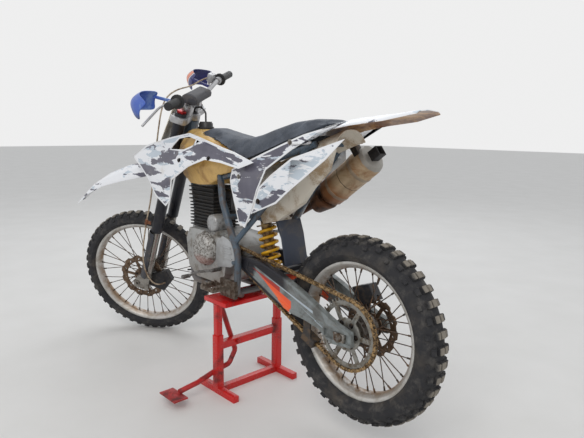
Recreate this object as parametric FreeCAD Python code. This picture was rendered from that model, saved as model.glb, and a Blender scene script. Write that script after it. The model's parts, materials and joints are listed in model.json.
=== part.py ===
import FreeCAD, Part
import math
import os

# Dirt bike held on its red paddock stand. Millimetres.
# +X is forward, +Y is the rider's left, +Z is up.
# The origin is on the floor under the stand's centre, in the bike's middle plane.
# The bike stands nose down: its front tyre touches the floor, its rear tyre hangs.
V = FreeCAD.Vector
Y_AXIS, Z_AXIS = V(0, 1, 0), V(0, 0, 1)
ORIGIN = V(0, 0, 0)

# Fits
RUN = 0.3            # gap of a part that turns on or in another
SEAT = 0.1           # gap of a part that is clamped in another
SIDE = 2.0           # gap at the side of a swinging or turning part

# Facets round a bar, a tube and a wheel
BAR_SIDES = 8
TUBE_SIDES = 16
TYRE_SIDES = 56      # two for each row of knobs
HUB_SIDES = 16
BEND_STEP = 34.0     # degrees turned by each straight facet of a bend

# Wheelbase, axles and steering
REAR_AXLE_X = -613.0
REAR_AXLE_Z = 408.0
WHEELBASE = 1425.0
FRONT_TYRE_R = 344.0
RAKE = 23.5          # steering axis from the vertical, in this pose
AXLE_LEAD = 60.0     # front axle ahead of the steering axis
STEER_REST = 38.0    # the bars rest turned to the left lock

# Wheels
FRONT_TYRE_HALF = 43.0
FRONT_RIM_R = 280.0
FRONT_RIM_HALF = 25.0
FRONT_KNOB_HIGH = 11.0
REAR_TYRE_R = 330.0
REAR_TYRE_HALF = 57.0
REAR_RIM_R = 239.0
REAR_RIM_HALF = 30.0
REAR_KNOB_HIGH = 15.0
KNOB_TAPER = 0.84        # a knob's top against its foot
BEAD_DEEP = 9.0
BEAD_IN = 4.0
RIM_DEEP = 24.0
RIM_WALL = 3.0
SPOKES = 36
SPOKE_R = 2.2
SPOKE_CROSS = 38.0       # degrees between a spoke's two ends
SPOKE_IN = 4.0           # sunk in the hub's flange
AXLE_R = 10.0
AXLE_BORE_R = 6.0        # hollow front axle
FRONT_DISC_R = 120.0
FRONT_DISC_Y = 55.0
REAR_DISC_R = 110.0
REAR_DISC_Y = 62.0
DISC_THICK = 4.0
DISC_WAVES = 12
WAVE_DEEP = 7.0
FRONT_HUB_R = 22.0
FRONT_FLANGE_R = 34.0
FRONT_FLANGE_Y = 28.0
REAR_HUB_R = 34.0
REAR_FLANGE_R = 48.0
REAR_FLANGE_Y = 34.0
FLANGE_THICK = 6.0

# Chain drive
PITCH = 15.875
REAR_TEETH = 48
FRONT_TEETH = 13
FRONT_SPROCKET_X = -28.0
FRONT_SPROCKET_Z = 577.0
CHAIN_Y = 72.0
CHAIN_SAG_R = 1000.0     # bend of the slack lower run, before it is set to whole links
LINK_HIGH = 11.0
ROLLER_LONG = 9.0
INNER_HALF = 5.6         # half width over the inner plates
PLATE_THICK = 1.8
SPROCKET_THICK = 5.0
TOOTH_HIGH = 4.2         # above the pitch line
TOOTH_WIDE = 4.0
SPROCKET_RIM = 22.0      # from the pitch line in to the ring's bore

# Fork, in its own frame: q ahead of the steering axis, y left, t up along it
LEG_Y = 100.0
LEG_Q = 25.0
OUTER_TUBE_R = 27.0
INNER_TUBE_R = 22.0
SHOE_HALF = 24.0
OUTER_TUBE_LOW = 311.0
LOWER_CLAMP_T = 662.0
LOWER_CLAMP_THICK = 36.0
UPPER_CLAMP_T = 880.0
UPPER_CLAMP_THICK = 28.0
LEG_TOP_T = 922.0
STEM_R = 15.0
HEAD_GAP = 5.0           # between the head tube and each clamp
BAR_R = 11.0
GRIP_R = 17.0
GRIP_LONG = 124.0
BAR_END_Y = 394.0
BAR_END_Q = -17.0
BAR_END_T = 1030.0
BAR_CLAMP_Y = 50.0
BAR_CLAMP_Q = 14.0
BAR_CLAMP_T = 948.0
FRONT_HOSE_R = 3.5
MASTER_Q = 10.0           # master cylinder, its rear, inner and lower faces
MASTER_Y = 200.0
MASTER_T = 1012.0

# Frame
TUBE_R = 14.0
SPAR_Y = 128.0
RAIL_Y = 75.0
PIVOT_X = -85.0
PIVOT_Z = 565.0
PIVOT_BOLT_R = 8.0
PIVOT_TUBE_R = 18.0
HEAD_TUBE_R = 28.0
SUBFRAME_R = 11.0
SUBFRAME_Y = 98.0

# Engine
SHAFT_R = 12.0           # gearbox output shaft
DECK_Z = 650.0           # top of the case, under the cylinder
HEAD_Z = 762.0           # top of the cylinder, under the head
HEAD_HIGH = 72.0
CASE_LEFT = 100.0
CASE_RIGHT = 95.0
FIN_THICK = 5.0
STARTER_X = 112.0
STARTER_Z = 691.0
STARTER_R = 38.0

# Swingarm
ARM_OUT = 112.0
ARM_IN = 88.0
ARM_PANEL = 3.0          # depth of the panel pressed in each arm
GUIDE_X = -455.0         # chain guide on the slack run
GUIDE_LONG = 60.0
GUIDE_GAP = 3.0
GUIDE_WALL = 6.0

# Rear shock
SHOCK_EYE_HALF = 22.0
SHOCK_BOLT_R = 6.0
SHOCK_SEAT = 26.0        # lower spring seat above the lower eye
COIL_R = 33.0
WIRE_R = 5.5
COILS = 6
COIL_STEPS = 12

# Exhaust
HEADER_R = 19.0
MUFFLER_R = 60.0
MUFFLER_Y = -165.0

# Bodywork
FUEL_CAP_X = 302.0
LOBE_HALF = 142.0
PANEL_THICK = 3.0
FENDER_THICK = 4.0
BOSS_R = 6.0
VENT_R = 4.0

# Footpegs
PEG_TEETH = 5

# Stand
STAND_TOP = 401.0
STAND_PLATE = 18.0
STAND_PLATE_LONG = 148.0
STAND_PLATE_HALF = 175.0
POST_Y = 160.0
FOOT_HALF = 121.0
FOOT_TUBE = 26.0
POST_OUT = 32.0
POST_WALL = 2.5
POST_TOP = 250.0
POST_IN_LOW = 190.0
CROSS_Z = 205.0
CROSS_TUBE = 30.0
LEVER_BOLT_Y = 70.0
LEVER_BOLT_R = 8.0
LEVER_R = 11.0


# Shapes

def unit(v):
    return v * (1.0 / v.Length)


def points(table):
    """Points from rows of x, y, z."""
    return [V(*row) for row in table]


def opposite(point):
    return V(point.x, -point.y, point.z)


def rod(a, b, r):
    """Round shaft or bore from a to b."""
    d = b - a
    return Part.makeCylinder(r, d.Length, a, d)


def box(x0, x1, y0, y1, z0, z1):
    return Part.makeBox(x1 - x0, y1 - y0, z1 - z0, V(x0, y0, z0))


def polygon(corners):
    return Part.Face(Part.makePolygon(list(corners) + [corners[0]]))


def circle(r, sides):
    """Corners of a flat-sided circle."""
    turns = [2 * math.pi * (i + 0.5) / sides for i in range(sides)]
    return [(r * math.cos(a), r * math.sin(a)) for a in turns]


def solid_of(faces):
    """Solid inside a closed set of flat faces."""
    shell = Part.makeShell(faces)
    shell.sewShape()
    solid = Part.makeSolid(shell)
    if solid.Volume < 0:
        solid.reverse()
    return solid


def flat_faces(a, b, c, d):
    """One flat face for four corners, or two triangles where they are twisted."""
    if a.isEqual(b, 1e-6):
        return [polygon([a, c, d])]
    if c.isEqual(d, 1e-6):
        return [polygon([a, b, c])]
    normal = (c - a).cross(d - b)
    if abs((b - a).dot(unit(normal))) < 1e-5:
        return [polygon([a, b, c, d])]
    if (c - a).Length < (d - b).Length:
        return [polygon([a, b, c]), polygon([a, c, d])]
    return [polygon([a, b, d]), polygon([b, c, d])]


def skin(rings, closed=False):
    """Solid of flat faces through rings of corners; closed joins the last ring to the first."""
    pairs = list(zip(rings, rings[1:]))
    if closed:
        pairs.append((rings[-1], rings[0]))
    faces = []
    for low, high in pairs:
        for i in range(len(low)):
            j = (i + 1) % len(low)
            faces.extend(flat_faces(low[i], low[j], high[j], high[i]))
    if not closed:
        faces.extend([polygon(rings[0]), polygon(rings[-1])])
    return solid_of(faces)


def square_to(d):
    """Two directions square to d and to each other."""
    side = unit(d.cross(Z_AXIS if abs(d.z) < 0.9 else V(1, 0, 0)))
    return side, unit(d.cross(side))


def ring(centre, d, r, sides):
    """Corners round a centre, square to d."""
    u, v = square_to(d)
    return [centre + u * a + v * b for a, b in circle(r, sides)]


def bar(a, b, r, sides=BAR_SIDES, r_end=None):
    """Bar with flat sides from a to b, tapered if r_end is given."""
    d = unit(b - a)
    return skin([ring(a, d, r, sides), ring(b, d, r_end or r, sides)])


def bore(a, b, r, sides=TUBE_SIDES):
    """Hole with flat sides that clears a round bar of radius r."""
    return bar(a, b, r / math.cos(math.pi / sides), sides)


def stack(a, d, rows, sides=TUBE_SIDES):
    """Turned piece with flat sides: rows of (distance from a along d, radius)."""
    return skin([ring(a + d * s, d, r, sides) for s, r in rows])


def bent(route, bend):
    """Route with each corner cut into chords of its bend."""
    line = [route[0]]
    for before, here, after in zip(route, route[1:], route[2:]):
        d0, d1 = unit(here - before), unit(after - here)
        turn = d0.getAngle(d1)
        cut = bend * math.tan(turn / 2)
        steps = max(1, round(math.degrees(turn) / BEND_STEP))
        centre = here + unit(d1 - d0) * (bend / math.cos(turn / 2))
        normal = d0.cross(d1)
        arm = here - d0 * cut - centre
        for i in range(steps + 1):
            spin = FreeCAD.Rotation(normal, math.degrees(turn) * i / steps)
            line.append(centre + spin.multVec(arm))
    return line + [route[-1]]


def pipe(route, r, bend, sides=BAR_SIDES):
    """Bent bar or tube with flat sides, mitred at each chord."""
    line = bent(route, bend)
    d = unit(line[1] - line[0])
    rings = [ring(line[0], d, r, sides)]
    for here, after in zip(line[1:], line[2:] + [None]):
        following = unit(after - here) if after else d
        normal = d + following
        rings.append([p + d * ((here - p).dot(normal) / d.dot(normal)) for p in rings[-1]])
        d = following
    return skin(rings)


def around(profile, sides):
    """Rings of a profile of (radius, y) pairs round the Y axis."""
    turns = [2 * math.pi * (i + 0.5) / sides for i in range(sides)]
    return [[V(r * math.cos(a), y, r * math.sin(a)) for r, y in profile] for a in turns]


def turned(profile, sides):
    """Closed profile of (radius, y) pairs taken round the Y axis in flat facets."""
    return skin(around(profile, sides), True)


def plate_y(outline, y0, y1):
    """Side outline of (x, z) pairs, made solid between two y."""
    return polygon([V(x, y0, z) for x, z in outline]).extrude(V(0, y1 - y0, 0))


def plate_z(outline, z0, z1):
    """Plan outline of (x, y) pairs, made solid between two z."""
    return polygon([V(x, y, z0) for x, y in outline]).extrude(V(0, 0, z1 - z0))


def mirrored(shape):
    return shape.mirror(ORIGIN, Y_AXIS)


def both_sides(shape):
    return [shape, mirrored(shape)]


def fused(shapes):
    return shapes[0].fuse(list(shapes[1:])).removeSplitter()


def apart(shapes):
    """Like solids that share a node."""
    return Part.makeCompound(list(shapes))


def moved(shape, by):
    result = shape.copy()
    result.translate(by)
    return result


def turned_by(shape, degrees, axis=Y_AXIS):
    result = shape.copy()
    result.rotate(ORIGIN, axis, degrees)
    return result


RAKE_RAD = math.radians(RAKE)
FRONT_AXLE_X = REAR_AXLE_X + WHEELBASE
SPAR_T = LOWER_CLAMP_T + 115      # where the spars and the down tube meet the head tube
DOWN_TUBE_T = LOWER_CLAMP_T + 82


def on_axis(shape, turn=0.0):
    """From the fork's own frame to its place, turned about the steering axis."""
    tilt = FreeCAD.Placement(STEER_FOOT, FreeCAD.Rotation(Y_AXIS, -RAKE))
    steer = FreeCAD.Placement(ORIGIN, FreeCAD.Rotation(Z_AXIS, turn))
    return shape.transformed(tilt.multiply(steer).toMatrix(), True)


def axis_point(t):
    """Point of the steering axis, t up along it."""
    return STEER_FOOT + V(-math.sin(RAKE_RAD), 0, math.cos(RAKE_RAD)) * t


def in_fork(shape):
    return on_axis(shape, STEER_REST)


def on_front_axle(shape):
    return in_fork(moved(shape, V(AXLE_LEAD, 0, 0)))


def on_rear_axle(shape):
    return moved(shape, V(REAR_AXLE_X, 0, REAR_AXLE_Z))


# Wheels, modelled about the Y axis

def symmetric(half_profile):
    """Closed profile from its left half, listed from the middle's top round to its bottom."""
    return half_profile + [(r, -y) for r, y in reversed(half_profile)]


def tyre_profile(rim_r, rim_half, outer_r, half):
    """Left half of a tyre under its knobs, from the tread round to the bead."""
    rise = outer_r - rim_r
    return [(outer_r, half * 0.34), (outer_r - rise * 0.22, half * 0.92),
            (rim_r + 1, rim_half - RUN), (rim_r - BEAD_DEEP, rim_half - BEAD_IN)]


def knob(corners, tall):
    """Block of rubber on one facet of the tread, a little smaller at its top."""
    middle = sum(corners, V()) * (1 / len(corners))
    out = unit((corners[2] - corners[0]).cross(corners[3] - corners[1]))
    if out.x * middle.x + out.z * middle.z < 0:
        out = -out
    top = [middle + (p - middle) * KNOB_TAPER + out * tall for p in corners]
    faces = [polygon(top)]
    for i in range(4):
        j = (i + 1) % 4
        faces.append(polygon([corners[i], corners[j], top[j], top[i]]))
    return faces


def tyre(half_profile, tall):
    """Carcass with knobs on every other facet, by turns one in the middle and one on each shoulder."""
    profile = symmetric(half_profile)
    count = len(profile)
    middle, shoulders = (count - 1,), (0, count - 2)
    rings = around(profile, TYRE_SIDES)
    faces = []
    for i in range(TYRE_SIDES):
        low, high = rings[i], rings[(i + 1) % TYRE_SIDES]
        knobbed = (middle, (), shoulders, ())[i % 4]
        for edge in range(count):
            end = (edge + 1) % count
            corners = [low[edge], low[end], high[end], high[edge]]
            faces.extend(knob(corners, tall) if edge in knobbed else [polygon(corners)])
    return solid_of(faces)


FRONT_CARCASS = tyre_profile(FRONT_RIM_R, FRONT_RIM_HALF, FRONT_TYRE_R - FRONT_KNOB_HIGH, FRONT_TYRE_HALF)
FRONT_TREAD = tyre(FRONT_CARCASS, FRONT_KNOB_HIGH)

# The turned front wheel leans, and the lowest knob of its tyre just touches the floor
STEER_RAD = math.radians(STEER_REST)
LEAN = math.asin(math.sin(STEER_RAD) * math.sin(RAKE_RAD))


def lean_reach(corner):
    return math.hypot(corner.X, corner.Z) * math.cos(LEAN) + corner.Y * math.sin(LEAN)


LOWEST_KNOB = max(FRONT_TREAD.Vertexes, key=lean_reach)
REACH = lean_reach(LOWEST_KNOB)
STEER_FOOT = V(FRONT_AXLE_X - AXLE_LEAD * math.cos(RAKE_RAD), 0,
               REACH - AXLE_LEAD * math.cos(STEER_RAD) * math.sin(RAKE_RAD))
DOWN = math.atan2(-math.cos(RAKE_RAD), -math.sin(RAKE_RAD) * math.cos(STEER_RAD))
FRONT_TURN = math.degrees(math.atan2(LOWEST_KNOB.Z, LOWEST_KNOB.X) - DOWN)


def rim(rim_r, rim_half):
    """Channel rim with a seat for the tyre's bead, and sides that slope in to the spokes."""
    outer = [(rim_r - BEAD_DEEP - SEAT, rim_half - BEAD_IN + SEAT), (rim_r, rim_half)]
    shoulder = (rim_r - BEAD_DEEP - RIM_WALL, rim_half - BEAD_IN + RIM_WALL)
    inner = [(rim_r, rim_half + RIM_WALL), shoulder, (rim_r - RIM_DEEP, rim_half * 0.4)]
    return turned(symmetric(outer + inner), TYRE_SIDES)


def spoke_set(hub_r, hub_y, rim_r):
    """Crossed spokes from two hub flanges to the rim's well."""
    solids = []
    low_r, high_r = hub_r - SPOKE_IN, rim_r + SPOKE_IN / 2
    for i in range(SPOKES):
        side = 1 if i % 2 else -1
        lean = 1 if i % 4 < 2 else -1
        a = 2 * math.pi * i / SPOKES
        b = a - lean * math.radians(SPOKE_CROSS)
        low = V(low_r * math.cos(b), side * hub_y, low_r * math.sin(b))
        high = V(high_r * math.cos(a), side * SPOKE_IN, high_r * math.sin(a))
        solids.append(bar(low, high, SPOKE_R, 4))
    return solids


def hub(barrel_r, flange_r, flange_y, end_y):
    """Hub with two spoke flanges and a through bore for the axle."""
    face = flange_y + FLANGE_THICK
    half = [(flange_y - 8, barrel_r), (flange_y, flange_r), (face, flange_r),
            (face, barrel_r * 0.8), (end_y, barrel_r * 0.7)]
    body = stack(ORIGIN, Y_AXIS, [(-y, r) for y, r in reversed(half)] + half, HUB_SIDES)
    return body.cut(bore(V(0, -end_y - 5, 0), V(0, end_y + 5, 0), AXLE_R + RUN))


def front_wheel():
    return fused([rim(FRONT_RIM_R, FRONT_RIM_HALF),
                  hub(FRONT_HUB_R, FRONT_FLANGE_R, FRONT_FLANGE_Y, LEG_Y - SHOE_HALF - SIDE)]
                 + spoke_set(FRONT_FLANGE_R, FRONT_FLANGE_Y + 3, FRONT_RIM_R - RIM_DEEP))


def rear_wheel():
    return fused([rim(REAR_RIM_R, REAR_RIM_HALF),
                  hub(REAR_HUB_R, REAR_FLANGE_R, REAR_FLANGE_Y, ARM_IN - SIDE)]
                 + spoke_set(REAR_FLANGE_R, REAR_FLANGE_Y + 3, REAR_RIM_R - RIM_DEEP))


def carrier(hub_r, face_y, low, high, out_r, arms_to, arm_half, arms):
    """Cup that bolts to the hub's flange at face_y, with arms out to a ring."""
    inner = hub_r * 0.8 + RUN
    wall = 8.0
    cup = turned([(inner, face_y), (inner + wall, face_y), (inner + wall, low), (out_r, low), (out_r, high),
                  (inner, high)], HUB_SIDES)
    solids = [cup]
    for i in range(arms):
        arm = box(out_r - 6, arms_to, low, high, -arm_half, arm_half)
        solids.append(turned_by(arm, 360 / arms * i))
    return solids


def disc(radius, y, hub_r, face_y):
    """Waved brake disc with slots, on a carrier that bolts to the hub's flange."""
    low, high = y - DISC_THICK / 2, y + DISC_THICK / 2
    step = 2 * math.pi / DISC_WAVES
    outline = []
    for i in range(DISC_WAVES):
        low_r = radius - WAVE_DEEP
        for share, r in ((0.0, radius), (0.4, radius), (0.55, low_r), (0.85, low_r)):
            a = step * (i + share)
            outline.append((r * math.cos(a), r * math.sin(a)))
    ring_in = circle(radius * 0.72, HUB_SIDES * 2)
    face = plate_y(outline, low, high).cut(plate_y(ring_in, low - 1, high + 1))
    for i in range(DISC_WAVES):
        slot = [(radius * r * math.cos(step * (i + s)), radius * r * math.sin(step * (i + s)))
                for r, s in ((0.78, 0.2), (0.8, 0.36), (0.87, 0.5), (0.85, 0.34))]
        face = face.cut(plate_y(slot, low - 1, high + 1))
    return fused([face] + carrier(hub_r, face_y, low, high, radius * 0.4, radius * 0.76, 7, 6))


def front_disc():
    plate = disc(FRONT_DISC_R, FRONT_DISC_Y, FRONT_HUB_R, FRONT_FLANGE_Y + FLANGE_THICK)
    return on_front_axle(turned_by(plate, FRONT_TURN))


def rear_disc():
    return on_rear_axle(mirrored(disc(REAR_DISC_R, REAR_DISC_Y, REAR_HUB_R, REAR_FLANGE_Y + FLANGE_THICK)))


# Chain drive, in the plane of the sprockets

def pitch_radius(teeth):
    return PITCH / (2 * math.sin(math.pi / teeth))


def chain_runs(sag_r):
    """Pitch line as clockwise runs: (kind, place, first angle, angle or length, links)."""
    r1, r2 = pitch_radius(REAR_TEETH), pitch_radius(FRONT_TEETH)
    ax, az, bx, bz = REAR_AXLE_X, REAR_AXLE_Z, FRONT_SPROCKET_X, FRONT_SPROCKET_Z
    gap = math.hypot(bx - ax, bz - az)
    line = math.atan2(bz - az, bx - ax)
    top = line + math.acos((r1 - r2) / gap)
    straight = math.sqrt(gap ** 2 - (r1 - r2) ** 2)
    side_a, side_b = sag_r - r1, sag_r - r2
    at_a = math.acos((side_a ** 2 + gap ** 2 - side_b ** 2) / (2 * side_a * gap))
    cx = ax + side_a * math.cos(line + at_a)
    cz = az + side_a * math.sin(line + at_a)
    low_b = math.atan2(bz - cz, bx - cx)
    low_a = math.atan2(az - cz, ax - cx)
    sag_step = 2 * math.asin(PITCH / (2 * sag_r))
    return [("line", (ax + r1 * math.cos(top), az + r1 * math.sin(top)), top - math.pi / 2,
             straight, straight / PITCH),
            ("arc", (bx, bz, r2), top, top - low_b, (top - low_b) / (2 * math.pi / FRONT_TEETH)),
            ("arc", (cx, cz, sag_r), low_b, low_b - low_a, (low_b - low_a) / sag_step),
            ("arc", (ax, az, r1), low_a, low_a - top + 2 * math.pi,
             (low_a - top + 2 * math.pi) / (2 * math.pi / REAR_TEETH))]


def chain_pins():
    """Pins of a whole, even number of links; the slack run's bend is set to suit."""
    links = 2 * round(sum(run[4] for run in chain_runs(CHAIN_SAG_R)) / 2)
    low, high = CHAIN_SAG_R / 2, CHAIN_SAG_R * 8
    for _ in range(60):
        middle = (low + high) / 2
        if sum(run[4] for run in chain_runs(middle)) > links:
            low = middle
        else:
            high = middle
    pins = []
    runs = chain_runs(low)
    for i in range(links):
        k = i
        for kind, place, first, size, count in runs:
            if k <= count:
                break
            k -= count
        if kind == "line":
            x, z = place
            s = size * k / count
            pins.append((x + s * math.cos(first), z + s * math.sin(first)))
        else:
            x, z, r = place
            a = first - size * k / count
            pins.append((x + r * math.cos(a), z + r * math.sin(a)))
    return pins


def link_frame(a, b):
    """Places a link, modelled along +X from its first pin, between two pins."""
    angle = math.degrees(math.atan2(b[1] - a[1], b[0] - a[0]))
    return FreeCAD.Placement(V(a[0], CHAIN_Y, a[1]), FreeCAD.Rotation(Y_AXIS, -angle)).toMatrix()


def chain():
    """Inner links are rings with a window for a tooth, outer links are pairs of plates."""
    pins = chain_pins()
    end = ROLLER_LONG / 2
    h = LINK_HIGH / 2
    between = INNER_HALF - PLATE_THICK
    window = box(end, PITCH - end, -between, between, -LINK_HIGH, LINK_HIGH)
    inner = box(-end, PITCH + end, -INNER_HALF, INNER_HALF, -h, h).cut(window)
    over = INNER_HALF + PLATE_THICK
    outer = [box(-end, PITCH + end, -over, -INNER_HALF, -h, h),
             box(-end, PITCH + end, INNER_HALF, over, -h, h)]
    solids = []
    for i, pin in enumerate(pins):
        where = link_frame(pin, pins[(i + 1) % len(pins)])
        for piece in ([inner] if i % 2 else outer):
            solids.append(piece.transformed(where, True))
    return apart(solids)


def toothed(teeth, first_pin, centre, slim=1.0):
    """Toothed plate about its centre, with a gap under each of the chain's rollers."""
    pitch_r = pitch_radius(teeth)
    root_r = pitch_r - LINK_HIGH / 2 - 1.2
    tip_r = pitch_r + TOOTH_HIGH * slim
    wide = TOOTH_WIDE * slim
    start = math.atan2(first_pin[1] - centre[1], first_pin[0] - centre[0])
    outline = []
    for i in range(teeth):
        a = start + 2 * math.pi * (i + 0.5) / teeth
        for r, w in ((root_r, -wide), (tip_r, -wide * 0.4), (tip_r, wide * 0.4), (root_r, wide)):
            s = a + w / 2 / r
            outline.append((centre[0] + r * math.cos(s), centre[1] + r * math.sin(s)))
    half = SPROCKET_THICK / 2
    return plate_y(outline, CHAIN_Y - half, CHAIN_Y + half)


def rear_sprocket():
    """Sprocket on six arms, bolted to the hub's left flange."""
    centre = (REAR_AXLE_X, REAR_AXLE_Z)
    bore_r = pitch_radius(REAR_TEETH) - SPROCKET_RIM
    low, high = CHAIN_Y - SPROCKET_THICK / 2, CHAIN_Y + SPROCKET_THICK / 2
    bore = on_rear_axle(plate_y(circle(bore_r, HUB_SIDES * 2), low - 1, high + 1))
    toothed_ring = toothed(REAR_TEETH, chain_pins()[0], centre).cut(bore)
    spider = carrier(REAR_HUB_R, REAR_FLANGE_Y + FLANGE_THICK, low, high, 58, bore_r + 4, 8, 6)
    return fused([toothed_ring] + [on_rear_axle(piece) for piece in spider])


def front_sprocket():
    """Small sprocket, in mesh with the chain's pin nearest its front."""
    centre = (FRONT_SPROCKET_X, FRONT_SPROCKET_Z)
    pins = [pin for pin in chain_pins()
            if math.hypot(pin[0] - centre[0], pin[1] - centre[1]) < pitch_radius(FRONT_TEETH) * 1.001]
    middle, half = V(centre[0], CHAIN_Y, centre[1]), V(0, SPROCKET_THICK, 0)
    shaft_room = bar(middle - half, middle + half, SHAFT_R, TUBE_SIDES)
    return toothed(FRONT_TEETH, max(pins), centre, 0.7).cut(shaft_room)


def rear_axle():
    """Axle with its head and nut outside the arms."""
    spindle = bar(V(0, -ARM_OUT - 12, 0), V(0, ARM_OUT + 12, 0), AXLE_R, TUBE_SIDES)
    nut = bar(V(0, ARM_OUT, 0), V(0, ARM_OUT + 10, 0), 17, 6)
    return on_rear_axle(fused([spindle] + both_sides(nut)))


# Frame

def spar_points():
    """Left spar from the head tube, under the tank and down past the swingarm's pivot."""
    head = axis_point(SPAR_T) - V(HEAD_TUBE_R - TUBE_R + 5, -TUBE_R, 0)
    return [head] + points([(330, 42, 1000), (60, 100, 925), (5, SPAR_Y, 800), (-45, SPAR_Y, 690),
                            (-95, SPAR_Y, 600), (-89, SPAR_Y, 480), (-86, SPAR_Y, 440)])


def seat_rail():
    """Left rail under the seat."""
    return pipe(points([(20, 106, 890), (-120, SUBFRAME_Y, 925), (-462, SUBFRAME_Y - 16, 1034)]),
                SUBFRAME_R, 80)


def strut_points():
    return points([(-72, SPAR_Y, 640), (-218, SUBFRAME_Y + 8, 790), (-425, SUBFRAME_Y - 14, 1018)])


def strut():
    """Left strut from the spar up to the seat rail."""
    return pipe(strut_points(), SUBFRAME_R, 80)


def side_tubes():
    """Left spar, and the left tube that goes on under the engine and up its front."""
    spar = spar_points()
    rail_z = STAND_TOP + TUBE_R * math.cos(math.pi / BAR_SIDES)
    under = [spar[6] + V(0, 0, 8), spar[7], V(-50, RAIL_Y, rail_z), V(290, RAIL_Y, rail_z),
             V(345, RAIL_Y - 25, 470), V(378, 8, 640)]
    return [pipe(spar[:7], TUBE_R, 60), pipe(under, TUBE_R, 24)]


def down_tube(r):
    """Tube down from the head tube, or the room that it needs."""
    head = axis_point(DOWN_TUBE_T) - V(HEAD_TUBE_R - 2, 0, 0)
    return pipe([head] + points([(380, 0, 720), (378, 0, 620)]), r, 80)


def shock_ends():
    return V(-106, 0, 735), V(-164, 0, 497)


def shock_lugs(x0, x1, eye):
    """Pair of plates with the bolt that holds one eye of the shock."""
    inner = SHOCK_EYE_HALF + RUN
    plate = box(x0, x1, inner, inner + 6, eye.z - 13, eye.z + 13)
    bolt = bar(eye - V(0, inner + 9, 0), eye + V(0, inner + 9, 0), SHOCK_BOLT_R)
    return both_sides(plate) + [bolt]


def frame():
    """Cradle frame of bent tubes, with flats under its rails where it rests on the stand."""
    head_low = LOWER_CLAMP_T + LOWER_CLAMP_THICK + HEAD_GAP
    head_high = UPPER_CLAMP_T - HEAD_GAP
    head = on_axis(bar(V(0, 0, head_low), V(0, 0, head_high), HEAD_TUBE_R, TUBE_SIDES))
    stem_room = on_axis(bore(V(0, 0, head_low - 10), V(0, 0, head_high + 10), STEM_R + RUN))
    sides = []
    for piece in side_tubes() + [seat_rail(), strut()]:
        sides.extend(both_sides(piece))
    rear = SUBFRAME_Y - 16
    cross = [bar(V(x, -y, z), V(x, y, z), r) for x, y, z, r in (
        (-448, rear, 1030, SUBFRAME_R - 2), (-60, SPAR_Y - 18, 430, TUBE_R - 2),
        (-26, SPAR_Y, 735, TUBE_R - 2))]
    bolt_end = V(0, SPAR_Y + 20, 0)
    pivot = V(PIVOT_X, 0, PIVOT_Z)
    cross.append(bar(pivot - bolt_end, pivot + bolt_end, PIVOT_BOLT_R))
    lugs = shock_lugs(-122, -26, shock_ends()[0])
    body = fused([head, down_tube(TUBE_R + 3)] + cross + sides + lugs).cut(stem_room)
    return body.cut(box(-150, 400, -SPAR_Y, SPAR_Y, STAND_TOP - 20, STAND_TOP))


def swingarm():
    """Two box arms joined at the pivot tube and by a bridge ahead of the tyre."""
    outline = [(PIVOT_X + 22, PIVOT_Z - 8), (PIVOT_X + 12, PIVOT_Z + 20), (-130, 588), (-218, 586),
               (-320, 560), (-430, 520), (-525, 478), (-600, 446), (-655, 432), (-662, 384),
               (-575, 376), (-520, 410), (-450, 424), (-380, 430), (-265, 462), (-176, 504),
               (PIVOT_X, PIVOT_Z - 24)]
    pressed = [(-140, 574), (-225, 571), (-330, 543), (-440, 501), (-545, 452), (-540, 430), (-455, 441),
               (-370, 448), (-270, 479), (-180, 518), (-130, 542)]
    arm = plate_y(outline, ARM_IN, ARM_OUT).cut(plate_y(pressed, ARM_OUT - ARM_PANEL, ARM_OUT + 1))
    out, half = V(0, ARM_OUT + 5, 0), V(0, ARM_OUT, 0)
    pivot, axle = V(PIVOT_X, 0, PIVOT_Z), V(REAR_AXLE_X, 0, REAR_AXLE_Z)
    tube = bar(pivot - half, pivot + half, PIVOT_TUBE_R, TUBE_SIDES)
    bridge = box(-252, -212, -ARM_OUT + 10, ARM_OUT - 10, 484, 555)
    body = fused([arm, mirrored(arm), tube, bridge] + shock_lugs(-213, -150, shock_ends()[1]))
    body = body.cut(bar(pivot - out * 1.2, pivot + out * 1.2, PIVOT_BOLT_R + RUN))
    return body.cut(bar(axle - out, axle + out, AXLE_R + SEAT, TUBE_SIDES))


def chain_guide():
    """Guide for the slack run: a hoop round the chain on a foot from under the left arm."""
    pins = chain_pins()
    lower = [i for i, pin in enumerate(pins) if pin[1] < REAR_AXLE_Z - LINK_HIGH]
    near = min(lower, key=lambda i: abs(pins[i][0] - GUIDE_X))
    where = link_frame(pins[near], pins[near - 1])
    half, tall, side = GUIDE_LONG / 2, LINK_HIGH / 2 + GUIDE_GAP, INNER_HALF + PLATE_THICK + GUIDE_GAP
    outer = ARM_IN + GUIDE_WALL
    hoop = box(-half, half, -side - GUIDE_WALL, outer - CHAIN_Y, -tall - GUIDE_WALL, tall + GUIDE_WALL)
    hoop = hoop.cut(box(-half - 5, half + 5, -side, side, -tall, tall)).transformed(where, True)
    x, z = pins[near]
    foot = plate_y([(x - 14, z), (x + 20, z), (x + 24, PIVOT_Z), (x - 12, PIVOT_Z)], ARM_IN, outer)
    foot = foot.common(box(x - 60, x + 60, ARM_IN, outer, z, REAR_AXLE_Z + 60)).cut(swingarm())
    foot = min(foot.Solids, key=lambda piece: piece.CenterOfMass.z)
    room = box(-half - 5, half + 5, -side, side, -tall, tall).transformed(where, True)
    return fused([hoop, foot]).cut(room)


# Engine

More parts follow.
